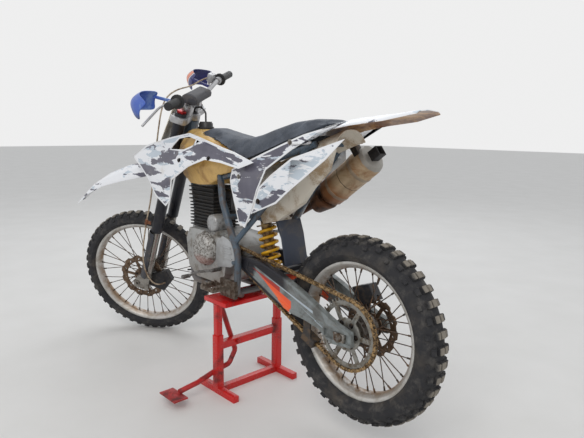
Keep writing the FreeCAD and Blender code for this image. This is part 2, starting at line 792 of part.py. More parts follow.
def engine_case():
    """Crankcase, narrow at the rear beside the front sprocket."""
    body = plate_y([(-50, 500), (-52, 610), (0, 640), (150, DECK_Z), (330, DECK_Z), (334, 600),
                    (300, 480), (240, 440), (60, 436), (-20, 470)], -CASE_RIGHT, 58)
    front = plate_y([(35, 480), (20, 560), (40, 630), (150, DECK_Z), (290, DECK_Z), (318, 600),
                     (300, 480), (240, 440), (70, 440)], 58, CASE_LEFT)
    shaft = bar(V(FRONT_SPROCKET_X, 50, FRONT_SPROCKET_Z),
                V(FRONT_SPROCKET_X, CHAIN_Y + 10, FRONT_SPROCKET_Z),
                SHAFT_R - SEAT, TUBE_SIDES)
    cradle = box(STARTER_X - 22, STARTER_X + 22, 34, CASE_LEFT - 5, 640, STARTER_Z - 20)
    starter_room = bar(V(STARTER_X, 0, STARTER_Z), V(STARTER_X, CASE_LEFT + 40, STARTER_Z), STARTER_R,
                       TUBE_SIDES)
    return fused([body, front, shaft, cradle]).cut(starter_room)


def engine_covers():
    """Generator and sprocket covers on the left, clutch cover on the right."""
    generator = stack(V(160, CASE_LEFT, 577), Y_AXIS,
                      [(0, 73), (8, 73), (8, 69), (24, 67), (34, 58), (38, 44)], 24)
    boss = stack(V(160, CASE_LEFT + 37, 577), Y_AXIS, [(0, 16), (5, 14)], 6)
    clutch = stack(V(150, -CASE_RIGHT, 560), -Y_AXIS, [(0, 85), (20, 84), (33, 70)], 24)
    plate = plate_y([(36, 649), (-5, 640), (-52, 610), (-60, 560), (-20, 528), (70, 515), (84, 545),
                     (76, 620)],
                    CASE_LEFT, CASE_LEFT + 9)
    ribs = []
    for x, z, long in ((0, 560, 58), (2, 582, 60), (6, 604, 56)):
        ribs.append(box(x - 30, x - 30 + long, CASE_LEFT + 8, CASE_LEFT + 14, z, z + 6))
    return apart([fused([generator, boss]), clutch, fused([plate] + ribs)])


def starter_motor():
    """Starter motor with a stepped round end."""
    return stack(V(STARTER_X, 30, STARTER_Z), Y_AXIS,
                 [(0, STARTER_R - 1), (74, STARTER_R - 1), (80, STARTER_R - 7), (82, STARTER_R - 16)],
                 TUBE_SIDES)


def finned(x0, x1, y, low, high, fins):
    """Block with thin fins standing out all round."""
    solids = [box(x0 + 14, x1 - 14, -y + 12, y - 12, low, high)]
    step = (high - low) / fins
    for i in range(fins):
        z = low + step * (i + 0.5)
        solids.append(box(x0, x1, -y, y, z, z + FIN_THICK))
    return fused(solids)


def cylinder():
    return finned(152, 330, 70, DECK_Z, HEAD_Z, 8)


def cylinder_head():
    return finned(150, 335, 72, HEAD_Z, HEAD_Z + HEAD_HIGH, 4)


def carburettor():
    """Inlet stub, body and float bowl between the head and the airbox."""
    body = bar(V(164, 0, 800), V(-145, 0, 815), 24, TUBE_SIDES)
    bowl = bar(V(80, 0, 740), V(80, 0, 800), 27, TUBE_SIDES)
    top = bar(V(80, 0, 800), V(86, 0, 846), 18, TUBE_SIDES)
    return fused([body, bowl, top]).cut(cylinder_head()).cut(airbox())


def exhaust_header():
    """Pipe from the head, round the front and back under the seat to the muffler."""
    route = points([(330, -20, 792), (352, -22, 792), (398, -48, 788), (440, -105, 760),
                    (330, -168, 700), (60, -174, 692), (-120, -174, 742), (-296, MUFFLER_Y, 831)])
    return pipe(route, HEADER_R, 30, 10).cut(muffler()).cut(cylinder_head())


def muffler():
    """Faceted can with a cone, two straps, an end cap and a square outlet."""
    low, high = V(-285, MUFFLER_Y, 822), V(-505, MUFFLER_Y, 985)
    r = MUFFLER_R
    can = stack(low, unit(high - low),
                [(0, 32), (30, r - 3), (64, r - 2), (64, r), (78, r), (78, r - 2), (196, r - 2), (196, r),
                 (210, r), (210, r - 2), (262, r - 2), (276, r - 10)], 12)
    outlet = bar(high, high + unit(high - low) * 46, 27, 4)
    return fused([can, outlet])


# Bodywork

def sheet(rows, levels, thick):
    """Upright bent sheet: rows of x and its outer y at each level of z."""
    rings = []
    for x, *ys in rows:
        rings.append([V(x, y, z) for y, z in zip(ys, levels)]
                     + [V(x, y - thick, z) for y, z in reversed(list(zip(ys, levels)))])
    return skin(rings)


def arched(rows, thick):
    """Arched sheet: rows of x, ridge height, half width and drop of the edges."""
    rings = []
    for x, z, half, drop in rows:
        face = [(-half, z - drop), (-half * 0.8, z - drop * 0.35), (0, z),
                (half * 0.8, z - drop * 0.35), (half, z - drop)]
        rings.append([V(x, y, a) for y, a in face] + [V(x, y, a - thick) for y, a in reversed(face)])
    return skin(rings)


def bossed(panel, seats, out_y, carriers):
    """Panel with bosses that reach in to their seats on what carries it."""
    bosses = [bar(V(x, y, z), V(x, out_y, z), BOSS_R, 6) for x, y, z in seats]
    reach = []
    for boss in bosses:
        parts = boss.cut(panel).Solids
        reach.append(min(parts, key=lambda piece: piece.CenterOfMass.y))
    body = fused([panel] + reach)
    for carrier_piece in carriers:
        body = body.cut(carrier_piece)
    return body


def fuel_tank():
    """Tank that swells to a lobe on each side, cut out for the spars, the seat and the head tube."""
    # x, then y and z of the left half from the top's middle round to the bottom's
    wide = LOBE_HALF
    rows = [(412, (0, 1066), (30, 1060), (46, 1036), (50, 1000), (48, 965), (38, 940), (0, 935)),
            (372, (0, 1079), (46, 1070), (68, 1046), (80, 1005), (80, 960), (62, 915), (0, 905)),
            (322, (0, 1084), (56, 1078), (94, 1050), (122, 1008), (132, 945), (104, 876), (0, 870)),
            (250, (0, 1076), (62, 1070), (108, 1052), (wide, 1012), (wide, 930), (120, 850), (0, 850)),
            (190, (0, 1062), (64, 1060), (112, 1050), (wide, 1010), (wide, 925), (118, 846), (0, 846)),
            (115, (0, 1048), (66, 1046), (112, 1038), (wide, 996), (wide, 925), (116, 852), (0, 850)),
            (20, (0, 1016), (70, 1014), (112, 1004), (wide - 4, 975), (wide - 4, 935), (116, 894), (0, 894)),
            (-40, (0, 985), (74, 982), (108, 974), (124, 952), (126, 934), (112, 910), (0, 910)),
            (-88, (0, 962), (70, 960), (96, 952), (106, 944), (106, 936), (96, 930), (0, 932))]
    rings = []
    for x, *half in rows:
        left = [V(x, y, z) for y, z in half]
        rings.append(left + [opposite(p) for p in reversed(left[1:-1])])
    body = skin(rings)
    for side in (spar_points(), [opposite(p) for p in spar_points()]):
        body = body.cut(pipe(side[:5], TUBE_R + RUN, 60))
    rail = bar(V(40, 106, 885), V(-120, SUBFRAME_Y, 925), SUBFRAME_R + 4)
    body = body.cut(rail).cut(mirrored(rail))
    room = on_axis(bar(V(0, 0, 640), V(0, 0, 900), HEAD_TUBE_R + 6, TUBE_SIDES))
    return body.cut(room).cut(down_tube(TUBE_R + 3 + SIDE)).cut(seat())


def fuel_cap():
    """Cap on its collar, with a ribbed edge."""
    low = V(FUEL_CAP_X, 0, 1076)
    cap = stack(low, Z_AXIS, [(0, 36), (12, 36), (12, 31), (26, 31), (30, 27), (34, 27)], TUBE_SIDES)
    return cap.cut(fuel_tank())


def vent_hose():
    """Hose from the cap, over in a loop and down the steering stem's bore."""
    stem = [on_axis(Part.Vertex(0, 0, t)).Point for t in (902, 932)]
    route = [V(FUEL_CAP_X, 0, 1110), V(FUEL_CAP_X, 0, 1150), V(321, 10, 1174), stem[1], stem[0]]
    return pipe(route, VENT_R, 12, 6)


def seat():
    """Seat: x, top, bottom, half width at the top and at the bottom."""
    rows = [(262, 1079, 1064, 42, 62), (190, 1081, 1044, 58, 96), (84, 1060, 1036, 62, 116),
            (-9, 1045, 1000, 64, 126), (-80, 1046, 975, 66, 132), (-147, 1058, 963, 68, 134),
            (-228, 1080, 992, 72, 130), (-335, 1105, 1034, 78, 120), (-434, 1115, 1069, 80, 105),
            (-520, 1112, 1104, 60, 88)]
    rings = []
    for x, top, low, half_top, half_low in rows:
        rings.append(points([(x, -half_low, low), (x, -half_top, top - 8), (x, -half_top * 0.6, top),
                             (x, half_top * 0.6, top), (x, half_top, top - 8), (x, half_low, low)]))
    return skin(rings)


def shrouds():
    """Tank shrouds, panels that lean out downwards."""
    outline = [(620, 948), (496, 1003), (324, 1042), (214, 1061), (60, 1030), (-112, 996), (-230, 962),
               (-154, 936), (-48, 952), (52, 959), (153, 926), (264, 865), (276, 779), (310, 750),
               (384, 786), (451, 851), (530, 900)]
    rows = [(640, 192, 190, 182, 166), (400, 212, 208, 188, 148), (150, 198, 192, 168, 122),
            (-240, 168, 166, 154, 126)]
    panel = sheet(rows, (740, 940, 1010, 1080), PANEL_THICK).common(plate_y(outline, 100, 260))
    seats = [(215, LOBE_HALF - 8, 950), (30, LOBE_HALF - 14, 965)]
    return apart(both_sides(bossed(panel, seats, 240, [fuel_tank()])))


def side_covers():
    outline = [(-172, 961), (-87, 930), (-74, 888), (-93, 813), (-117, 731), (-154, 713), (-207, 795),
               (-242, 864), (-285, 939), (-408, 1013), (-545, 1086), (-628, 1110), (-455, 1066),
               (-279, 1001)]
    rows = [(-60, 142, 150, 150, 140), (-240, 142, 154, 152, 142), (-420, 140, 150, 146, 130),
            (-640, 120, 124, 120, 104)]
    panel = sheet(rows, (700, 860, 980, 1120), PANEL_THICK).common(plate_y(outline, 90, 200))
    seats = [(-130, SUBFRAME_Y, 928), (-440, SUBFRAME_Y - 14, 1036)]
    return apart(both_sides(bossed(panel, seats, 180, [seat_rail()])))


def number_panels():
    """Left panel over the side cover, right panel inboard of the muffler."""
    outline = [(-623, 1054), (-512, 1017), (-419, 987), (-319, 924), (-259, 877), (-220, 797),
               (-208, 774), (-346, 826), (-468, 918), (-557, 987)]
    rows = [(-200, 152, 162, 160, 152), (-420, 148, 158, 154, 140), (-640, 126, 132, 128, 112)]
    left = sheet(rows, (700, 860, 980, 1120), PANEL_THICK).common(plate_y(outline, 90, 200))
    inboard = [(-422, 1049), (-403, 1047), (-315, 950), (-262, 885), (-262, 856), (-422, 972)]
    right = plate_y(inboard, 113, 113 + PANEL_THICK)
    low, high = strut_points()[1:]
    on_strut = [(low + (high - low) * f) for f in (0.3, 0.5, 0.62, 0.85)]
    seats = [(p.x, p.y, p.z) for p in on_strut]
    return apart([bossed(left, seats[:2], 190, [strut()]),
                  mirrored(bossed(right, seats[2:], 150, [strut()]))])


def rear_fender():
    return arched([(-428, 1065, 98, 14), (-520, 1103, 98, 22), (-620, 1124, 96, 26), (-740, 1134, 88, 22),
                   (-840, 1143, 62, 10)], FENDER_THICK)


def airbox():
    """Airbox hung between the subframe's rails."""
    return plate_y([(-145, 761), (-169, 722), (-256, 745), (-377, 820), (-426, 880), (-495, 945),
                    (-520, 1020), (-335, 990), (-228, 950), (-147, 930)], -60, 66)


def mudflap():
    flap = plate_y([(-220, 800), (-262, 690), (-288, 575), (-294, 576), (-268, 690), (-226, 800)], -58, 58)
    return flap.cut(airbox())


def shock_body():
    """Damper with an eye at each end and the spring's two seats."""
    top, low = shock_ends()
    axis = unit(low - top)
    long = (low - top).Length
    damper = stack(top, axis, [(12, 22), (30, 22), (30, 40), (36, 40), (36, 22), (130, 22), (130, 8),
                               (long - SHOCK_SEAT, 8), (long - SHOCK_SEAT, 40), (long - SHOCK_SEAT + 6, 40),
                               (long - SHOCK_SEAT + 6, 12), (long - 8, 12)], TUBE_SIDES)
    half = V(0, SHOCK_EYE_HALF, 0)
    eyes = [bar(top - half, top + half, 14, TUBE_SIDES), bar(low - half, low + half, 13, TUBE_SIDES)]
    body = fused([damper] + eyes)
    for eye in (top, low):
        body = body.cut(bar(eye - half * 2, eye + half * 2, SHOCK_BOLT_R + SEAT))
    return body


def shock_spring():
    """Coil between the shock's two seats."""
    top, low = shock_ends()
    axis = unit(low - top)
    first, last = top + axis * (36 + WIRE_R), low - axis * (SHOCK_SEAT + WIRE_R)
    u, v = square_to(axis)
    rings = []
    steps = COILS * COIL_STEPS
    for i in range(steps + 1):
        a = 2 * math.pi * i / COIL_STEPS
        out, along = u * math.cos(a) + v * math.sin(a), v * math.cos(a) - u * math.sin(a)
        centre = first + (last - first) * (i / steps) + out * COIL_R
        rings.append([centre + out * (WIRE_R * math.cos(b)) + along.cross(out) * (WIRE_R * math.sin(b))
                      for b in (2 * math.pi * k / 6 for k in range(6))])
    return skin(rings)


# Controls on the frame

def footpegs():
    """Toothed pegs on their brackets."""
    y0, y1 = SPAR_Y + TUBE_R + 8, 226
    low, top = 452, 468
    step = (y1 - y0) / PEG_TEETH
    saw = [(y0, low), (y1, low), (y1, top)]
    for i in range(PEG_TEETH):
        saw.extend([(y1 - step * (i + 0.5), top + 8), (y1 - step * (i + 1), top)])
    bars = [polygon([V(x, y, z) for y, z in saw]).extrude(V(12, 0, 0)) for x in (-62, 12)]
    ends = [box(-55, 18, y0, y0 + 12, low, top), box(-55, 18, y1 - 10, y1, low, top)]
    arm = box(-100, -4, SPAR_Y + 6, y0, 420, 490)
    for tube in side_tubes():
        arm = arm.cut(tube)
    arm = max(arm.Solids, key=lambda piece: piece.Volume)
    return apart(both_sides(fused(bars + ends + [arm])))


def shift_lever():
    spindle = bar(V(60, CASE_LEFT, 505), V(60, CASE_LEFT + 50, 505), 8)
    arm = pipe(points([(60, CASE_LEFT + 46, 505), (155, 150, 482), (226, 156, 450)]), 6, 20)
    tip = bar(V(226, 146, 450), V(226, 184, 450), 9)
    return fused([spindle, arm, tip])


def brake_pedal():
    y = SPAR_Y + TUBE_R + 16
    arm = pipe(points([(-14, -y, 434), (60, -y, 418), (180, -y, 428)]), 7, 20)
    boss = bar(V(-18, -y - 8, 434), V(-18, -y + 8, 434), 11)
    return fused([arm, boss, box(160, 195, -y - 20, -y + 12, 432, 440)])


def kick_lever():
    shaft = bar(V(60, -CASE_RIGHT, 470), V(60, -142, 470), 12)
    arm = pipe(points([(60, -134, 470), (20, -138, 560), (10, -140, 640)]), 7, 40)
    tread = bar(V(10, -132, 640), V(10, -185, 640), 8)
    return fused([shaft, arm, tread])


def rear_caliper():
    """Caliper over the rear disc, on a bracket from the right arm."""
    outline = [(REAR_AXLE_X - 28, REAR_AXLE_Z + 98), (REAR_AXLE_X + 6, REAR_AXLE_Z + 152),
               (REAR_AXLE_X + 80, REAR_AXLE_Z + 125), (REAR_AXLE_X + 48, REAR_AXLE_Z + 62)]
    block = plate_y(outline, -84, -40)
    slot = plate_y(outline, -REAR_DISC_Y - 4, -REAR_DISC_Y + 4)
    slot = slot.common(on_rear_axle(bar(V(0, -80, 0), V(0, -40, 0), REAR_DISC_R + 5, 24)))
    bracket = box(-584, -552, -ARM_IN, -84, 400, 520)
    hole = on_rear_axle(bar(V(0, -100, 0), V(0, -60, 0), AXLE_R + 15, TUBE_SIDES))
    return fused([block, bracket]).cut(slot).cut(hole)


# Front end, in the fork's own frame

def clamp_plate(t0, thick):
    """Yoke that holds both fork legs and the stem."""
    reach = OUTER_TUBE_R + 10
    cut = 12
    # q and y of the left half, from the middle's back round to its front
    half = [(LEG_Q - reach + 8, 0), (LEG_Q - reach, LEG_Y - 20), (LEG_Q - reach, LEG_Y + reach - cut),
            (LEG_Q - reach + cut, LEG_Y + reach), (LEG_Q + reach - cut, LEG_Y + reach),
            (LEG_Q + reach, LEG_Y + reach - cut), (LEG_Q + reach, LEG_Y - 26), (30, 40), (30, 0)]
    plan = half + [(q, -y) for q, y in reversed(half[1:-1])]
    plate = fused([plate_z(plan, t0, t0 + thick), bar(V(0, 0, t0), V(0, 0, t0 + thick), 30, TUBE_SIDES)])
    for y in (LEG_Y, -LEG_Y):
        leg = bar(V(LEG_Q, y, t0 - 5), V(LEG_Q, y, t0 + thick + 5), OUTER_TUBE_R + SEAT, TUBE_SIDES)
        plate = plate.cut(leg)
    return plate


def lower_clamp():
    """Lower yoke with the steering stem."""
    plate = clamp_plate(LOWER_CLAMP_T, LOWER_CLAMP_THICK)
    top = UPPER_CLAMP_T + UPPER_CLAMP_THICK + 4
    stem = bar(V(0, 0, LOWER_CLAMP_T), V(0, 0, top), STEM_R, TUBE_SIDES)
    hollow = bore(V(0, 0, top - 30), V(0, 0, top + 5), VENT_R + RUN, BAR_SIDES)
    return in_fork(fused([plate, stem]).cut(hollow))


def bar_points():
    half = points([(BAR_END_Q, BAR_END_Y, BAR_END_T), (-4, 226, 1016), (BAR_CLAMP_Q, 110, BAR_CLAMP_T)])
    return half + [opposite(p) for p in reversed(half)]


def bar_tube(r):
    """The bar, or the hole that fits round it."""
    return pipe(bar_points(), r, 50, 12)


def handlebar():
    return in_fork(bar_tube(BAR_R))


def bar_line(side):
    """End of the bar on one side, and the direction inwards along its grip."""
    bar = bar_points()
    end, bend = (bar[0], bar[1]) if side > 0 else (bar[-1], bar[-2])
    return end, unit(bend - end)


def upper_clamp():
    """Upper yoke with the two posts that hold the bar."""
    plate = clamp_plate(UPPER_CLAMP_T, UPPER_CLAMP_THICK)
    top = UPPER_CLAMP_T + UPPER_CLAMP_THICK
    stem = bar(V(0, 0, UPPER_CLAMP_T - 5), V(0, 0, top + 5), STEM_R + SEAT, TUBE_SIDES)
    posts = [box(BAR_CLAMP_Q - 20, BAR_CLAMP_Q + 20, y - 16, y + 16, top - 1, BAR_CLAMP_T + 17)
             for y in (BAR_CLAMP_Y, -BAR_CLAMP_Y)]
    return in_fork(fused([plate] + posts).cut(stem).cut(bar_tube(BAR_R + SEAT)))


def fork_tubes():
    return apart([in_fork(bar(V(LEG_Q, y, OUTER_TUBE_LOW), V(LEG_Q, y, LEG_TOP_T), OUTER_TUBE_R, TUBE_SIDES))
                  for y in (LEG_Y, -LEG_Y)])


def fork_caps():
    """Hexagon caps on the fork legs."""
    return apart([in_fork(bar(V(LEG_Q, y, LEG_TOP_T), V(LEG_Q, y, LEG_TOP_T + 10), OUTER_TUBE_R - 5, 6))
                  for y in (LEG_Y, -LEG_Y)])


def fork_sliders():
    """Inner tubes with the shoes that hold the axle."""
    solids = []
    for y in (LEG_Y, -LEG_Y):
        tube = bar(V(LEG_Q, y, 10), V(LEG_Q, y, OUTER_TUBE_LOW), INNER_TUBE_R, TUBE_SIDES)
        shoe = plate_y([(3, 44), (52, 44), (AXLE_LEAD + 14, 24), (AXLE_LEAD + 22, 0), (AXLE_LEAD + 14, -26),
                        (3, -26)],
                       y - SHOE_HALF, y + SHOE_HALF)
        leg = fused([tube, shoe])
        hole = bar(V(AXLE_LEAD, y - 40, 0), V(AXLE_LEAD, y + 40, 0), AXLE_R + SEAT, TUBE_SIDES)
        solids.append(in_fork(leg.cut(hole)))
    return apart(solids)


def front_axle():
    """Hollow axle through both shoes."""
    out = LEG_Y + SHOE_HALF + 6
    a, b = V(AXLE_LEAD, -out, 0), V(AXLE_LEAD, out, 0)
    return in_fork(bar(a, b, AXLE_R, TUBE_SIDES).cut(rod(a, b, AXLE_BORE_R)))


def fork_guards():
    """Half shells over the inner tubes, standing on the shoes."""
    solids = []
    for y in (LEG_Y, -LEG_Y):
        foot, top = V(LEG_Q, y, 44), V(LEG_Q, y, OUTER_TUBE_LOW - 4)
        shell = bar(foot, top, INNER_TUBE_R + 12, TUBE_SIDES)
        shell = shell.cut(bar(foot - Z_AXIS, top + Z_AXIS, INNER_TUBE_R + 9, TUBE_SIDES))
        solids.append(in_fork(shell.common(box(LEG_Q - 4, LEG_Q + 60, y - 60, y + 60, 0, OUTER_TUBE_LOW))))
    return apart(solids)


def front_fender():
    """Fender under the lower clamp, in rows of q, ridge t, half width and drop."""
    return in_fork(arched([(478, 268, 26, 10), (417, 385, 58, 34), (345, 472, 68, 46), (257, 548, 74, 60),
                           (168, 604, 78, 60), (60, 650, 66, 44), (0, LOWER_CLAMP_T, 58, 36)], FENDER_THICK))


def front_plate():
    """Blank plate ahead of the clamps."""
    plate = plate_y([(96, 712), (64, 930), (68, 930), (100, 712)], -100, 100)
    face, low = LEG_Q + OUTER_TUBE_R + 10, UPPER_CLAMP_T + 6
    lug = plate_y([(face, low), (96 - (low - 712) * 0.1468 + 1, low),
                   (96 - (low - 696) * 0.1468 + 1, low + 16),
                   (face, low + 16)], LEG_Y - 12, LEG_Y)
    return in_fork(fused([plate] + both_sides(lug)))


def bar_pad():
    """Pad on the bar, with its edges cut off."""
    low, high = BAR_CLAMP_T + 18, BAR_CLAMP_T + 60
    return in_fork(plate_y([(-22, low), (28, low), (40, low + 12), (40, high - 12), (28, high), (-22, high),
                            (-34, high - 12), (-34, low + 12)], -98, 98))


def grips():
    """Grips on the ends of the bar, each with a round inner flange."""
    solids = []
    for side in (1, -1):
        end, d = bar_line(side)
        grip = stack(end - d * 3, d, [(0, GRIP_R - 2), (4, GRIP_R), (GRIP_LONG, GRIP_R),
                                      (GRIP_LONG, GRIP_R + 13),
                                      (GRIP_LONG + 6, GRIP_R + 11)], TUBE_SIDES)
        solids.append(in_fork(grip.cut(bar_tube(BAR_R + SEAT))))
    return apart(solids)


def levers():
    """Perch and drooping lever on each side of the bar, the right one with the brake's master cylinder."""
    end, d = bar_line(1)
    near = end + d * (GRIP_LONG + 10)
    perch = bar(near, near + d * 24, BAR_R + 6, 12)
    arm = bar(near + d * 12, V(38, 240, 996), 8)
    blade = pipe(points([(30, 240, 1000), (52, 300, 980), (67, 400, 922)]), 5, 60)
    left = fused([perch, arm, blade]).cut(bar_tube(BAR_R + SEAT))
    master = box(MASTER_Q, MASTER_Q + 26, MASTER_Y, MASTER_Y + 44, MASTER_T, MASTER_T + 34)
    right = fused([mirrored(left), mirrored(master)]).cut(bar_tube(BAR_R + SEAT))
    return apart([in_fork(left), in_fork(right)])


def handguards():
    """Shell ahead of each grip, on a stay from the bar."""
    rings = []
    # y, then q at t 935, 962, 990 and 1018
    for y, *ahead in ((214, 96, 108, 110, 94), (252, 128, 148, 148, 128), (300, 150, 176, 174, 146),
                      (356, 130, 152, 150, 120), (396, 78, 92, 88, 62)):
        face = list(zip(ahead, (935, 962, 990, 1018)))
        rings.append([V(q, y, t) for q, t in face] + [V(q - 3, y, t) for q, t in reversed(face)])
    stay = bar(V(6, 190, 995.5), V(114, 221, 985), 6)
    side = fused([skin(rings), stay])
    return apart([in_fork(piece.cut(bar_tube(BAR_R + SEAT))) for piece in both_sides(side)])


def front_caliper():
    """Caliper over the front disc, against the left shoe."""
    outline = [(LEG_Q - 10, 50), (-60, 92), (-98, 48), (-70, -26), (LEG_Q - 10, -24)]
    inner = LEG_Y - SHOE_HALF
    block = plate_y(outline, 42, inner)
    slot = plate_y(outline, FRONT_DISC_Y - 4, FRONT_DISC_Y + 4)
    room = bar(V(AXLE_LEAD, 40, 0), V(AXLE_LEAD, inner, 0), FRONT_DISC_R + 5, 24)
    return in_fork(block.cut(slot.common(room)))


def front_hose():
    """Brake hose from the master cylinder across the front and down outside the left leg to the caliper."""
    start = V(MASTER_Q + 26, -MASTER_Y - 22, MASTER_T + 12)
    route = [start] + points([(84, -150, 978), (122, -60, 965), (128, 40, 945), (112, 112, 905),
                              (98, 134, 800),
                              (84, 136, 640), (70, 136, 477), (72, 134, 355), (62, 138, 200), (31, 143, 103),
                              (-16, 137, 42), (-52, 112, 26), (-64, LEG_Y - SHOE_HALF, 24)])
    return in_fork(pipe(route, FRONT_HOSE_R, 18, 6)).cut(front_caliper()).cut(levers())


# Stand

def stand_base():
    """Welded base: two feet, a low cross tube, two hollow posts and an upper cross tube."""
    half, p, c = FOOT_TUBE / 2, POST_OUT / 2, CROSS_TUBE / 2
    solids = [box(-half, half, -POST_Y, POST_Y, 0, FOOT_TUBE),
              box(-c, c, -POST_Y, POST_Y, CROSS_Z - c, CROSS_Z + c)]
    for y in (-POST_Y, POST_Y):
        solids.append(box(-FOOT_HALF, FOOT_HALF, y - half, y + half, 0, FOOT_TUBE))
        solids.append(box(-p, p, y - p, y + p, FOOT_TUBE - 1, POST_TOP))
    base = fused(solids)
    inside = p - POST_WALL
    for y in (-POST_Y, POST_Y):
        base = base.cut(box(-inside, inside, y - inside, y + inside, FOOT_TUBE + 4, POST_TOP + 5))
    return base.cut(bar(V(-60, LEVER_BOLT_Y, CROSS_Z), V(60, LEVER_BOLT_Y, CROSS_Z), LEVER_BOLT_R + RUN))


def stand_platform():
    """Plate on two posts that slide in the base's posts."""
    half = STAND_PLATE_LONG / 2
    low = STAND_TOP - STAND_PLATE
    plate = box(-half, half, -STAND_PLATE_HALF, STAND_PLATE_HALF, low, STAND_TOP)
    p = POST_OUT / 2 - POST_WALL - RUN
    return fused([plate] + [box(-p, p, y - p, y + p, POST_IN_LOW, low + 1) for y in (-POST_Y, POST_Y)])


def stand_lever():
    """Bent foot lever in front of the posts, on a bolt through the upper cross tube."""
    x = CROSS_TUBE / 2 + SIDE + LEVER_R
    low = STAND_TOP - STAND_PLATE - LEVER_R * math.cos(math.pi / BAR_SIDES)
    arm = pipe(points([(x, 128, low), (x, LEVER_BOLT_Y, CROSS_Z), (x, 52, 150), (x, 84, 96), (x, 156, 84),
                       (x, 240, 60), (x, 330, 48)]), LEVER_R, 14)
    roller = bar(V(x - 20, 128, low), V(x + 20, 128, low), LEVER_R)
    bolt = bar(V(-CROSS_TUBE / 2 - 10, LEVER_BOLT_Y, CROSS_Z), V(x, LEVER_BOLT_Y, CROSS_Z), LEVER_BOLT_R)
    return fused([arm, roller, bolt, box(-25, 88, 322, 384, 36, 42)])


def front_tyre():
    return on_front_axle(turned_by(FRONT_TREAD, FRONT_TURN))


def rear_tyre():
    carcass = tyre_profile(REAR_RIM_R, REAR_RIM_HALF, REAR_TYRE_R - REAR_KNOB_HIGH, REAR_TYRE_HALF)
    return on_rear_axle(tyre(carcass, REAR_KNOB_HIGH))


def front_rim():
    return on_front_axle(turned_by(front_wheel(), FRONT_TURN))


def rear_rim():
    return on_rear_axle(rear_wheel())


PIECES = (frame, swingarm, chain_guide, rear_axle, engine_case, engine_covers, starter_motor, cylinder,
          cylinder_head, carburettor, exhaust_header, muffler, front_sprocket, chain, fuel_tank, fuel_cap,
          vent_hose, seat, shrouds, side_covers, number_panels, rear_fender, airbox, mudflap,
          shock_body, shock_spring, footpegs, shift_lever, brake_pedal, kick_lever, rear_caliper,
          stand_base, stand_platform, stand_lever, lower_clamp, upper_clamp, fork_tubes, fork_caps,
          fork_sliders, front_axle, fork_guards, front_fender, front_plate, handlebar, bar_pad, grips,
          levers, handguards, front_caliper, front_hose, front_tyre, front_rim, front_disc, rear_tyre,
          rear_rim, rear_disc, rear_sprocket)

if __name__ == "__main__":
    os.makedirs("parts", exist_ok=True)
    for make in PIECES:
        make().exportStep("parts/" + make.__name__ + ".step")
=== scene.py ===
# %% [markdown]
# # Dirt bike held on its red paddock stand
#
# The bike and its stand come in as finished solids, each already in its real place. This lesson
# gives every surface a finish, and adds what solids alone don't show: knobs on the tyres, the
# seat's stretched cover, the bolts that hold the panels, and the dirt that a season leaves.

# %% Load the solids
import json
from math import atan2, copysign, cos, degrees, pi, radians, sin

import bmesh
import bpy
from mathutils import Matrix, Vector
from mathutils.bvhtree import BVHTree


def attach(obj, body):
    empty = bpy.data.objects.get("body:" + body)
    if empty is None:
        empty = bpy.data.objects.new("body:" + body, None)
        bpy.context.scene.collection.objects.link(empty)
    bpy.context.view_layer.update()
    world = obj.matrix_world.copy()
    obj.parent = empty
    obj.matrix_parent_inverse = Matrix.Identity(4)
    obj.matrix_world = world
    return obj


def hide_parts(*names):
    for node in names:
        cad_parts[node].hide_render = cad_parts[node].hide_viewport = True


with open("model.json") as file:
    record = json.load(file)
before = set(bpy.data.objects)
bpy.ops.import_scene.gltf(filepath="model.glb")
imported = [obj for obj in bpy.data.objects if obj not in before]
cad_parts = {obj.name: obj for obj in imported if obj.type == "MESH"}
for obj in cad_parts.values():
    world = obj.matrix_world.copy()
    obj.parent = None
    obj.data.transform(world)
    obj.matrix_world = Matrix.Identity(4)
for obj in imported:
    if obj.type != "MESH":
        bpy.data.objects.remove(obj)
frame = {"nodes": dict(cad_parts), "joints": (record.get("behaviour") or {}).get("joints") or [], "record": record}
nodes = frame["nodes"]
joints = {joint["name"]: joint for joint in frame["joints"]}
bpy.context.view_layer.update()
bpy.ops.object.select_all(action="DESELECT")

# %% [markdown]
# ## The camera
#
# The picture was taken from behind the bike on its left, a little above the seat.
# A camera looks along its own -Z axis, so its matrix is built from the direction that it looks in.

# %% The camera
def axes_at(point, x, y, z):
    """A place from its point and its three axes."""
    return Matrix.Translation(point) @ Matrix((x, y, z)).transposed().to_4x4()


LENS_PIXELS, PICTURE_WIDE, SENSOR = 546.7, 584, 36
CAMERA_AT = (-1.752, 1.398, 1.081)
yaw, pitch, roll = (radians(a) for a in (-43.18, 9.31, 0.71))
ahead = Vector((cos(yaw) * cos(pitch), sin(yaw) * cos(pitch), -sin(pitch)))
level = Vector((sin(yaw), -cos(yaw), 0))
rise = level.cross(ahead)
across = level * cos(roll) + rise * sin(roll)
upward = rise * cos(roll) - level * sin(roll)
bpy.ops.object.camera_add()
camera = bpy.context.object
camera.data.sensor_width = SENSOR
camera.data.lens = SENSOR * LENS_PIXELS / PICTURE_WIDE
camera.matrix_world = axes_at(CAMERA_AT, across, upward, -ahead)
scene = bpy.context.scene
scene.camera = camera
print("lens:", round(camera.data.lens, 2), "mm")

# %% [markdown]
# ## Floor and light
#
# A wide pale floor and soft light from all round show colours as they are written.
# The world is pale grey where the camera or a reflection sees it, and lights the surfaces with a
# dimmer, cooler colour.

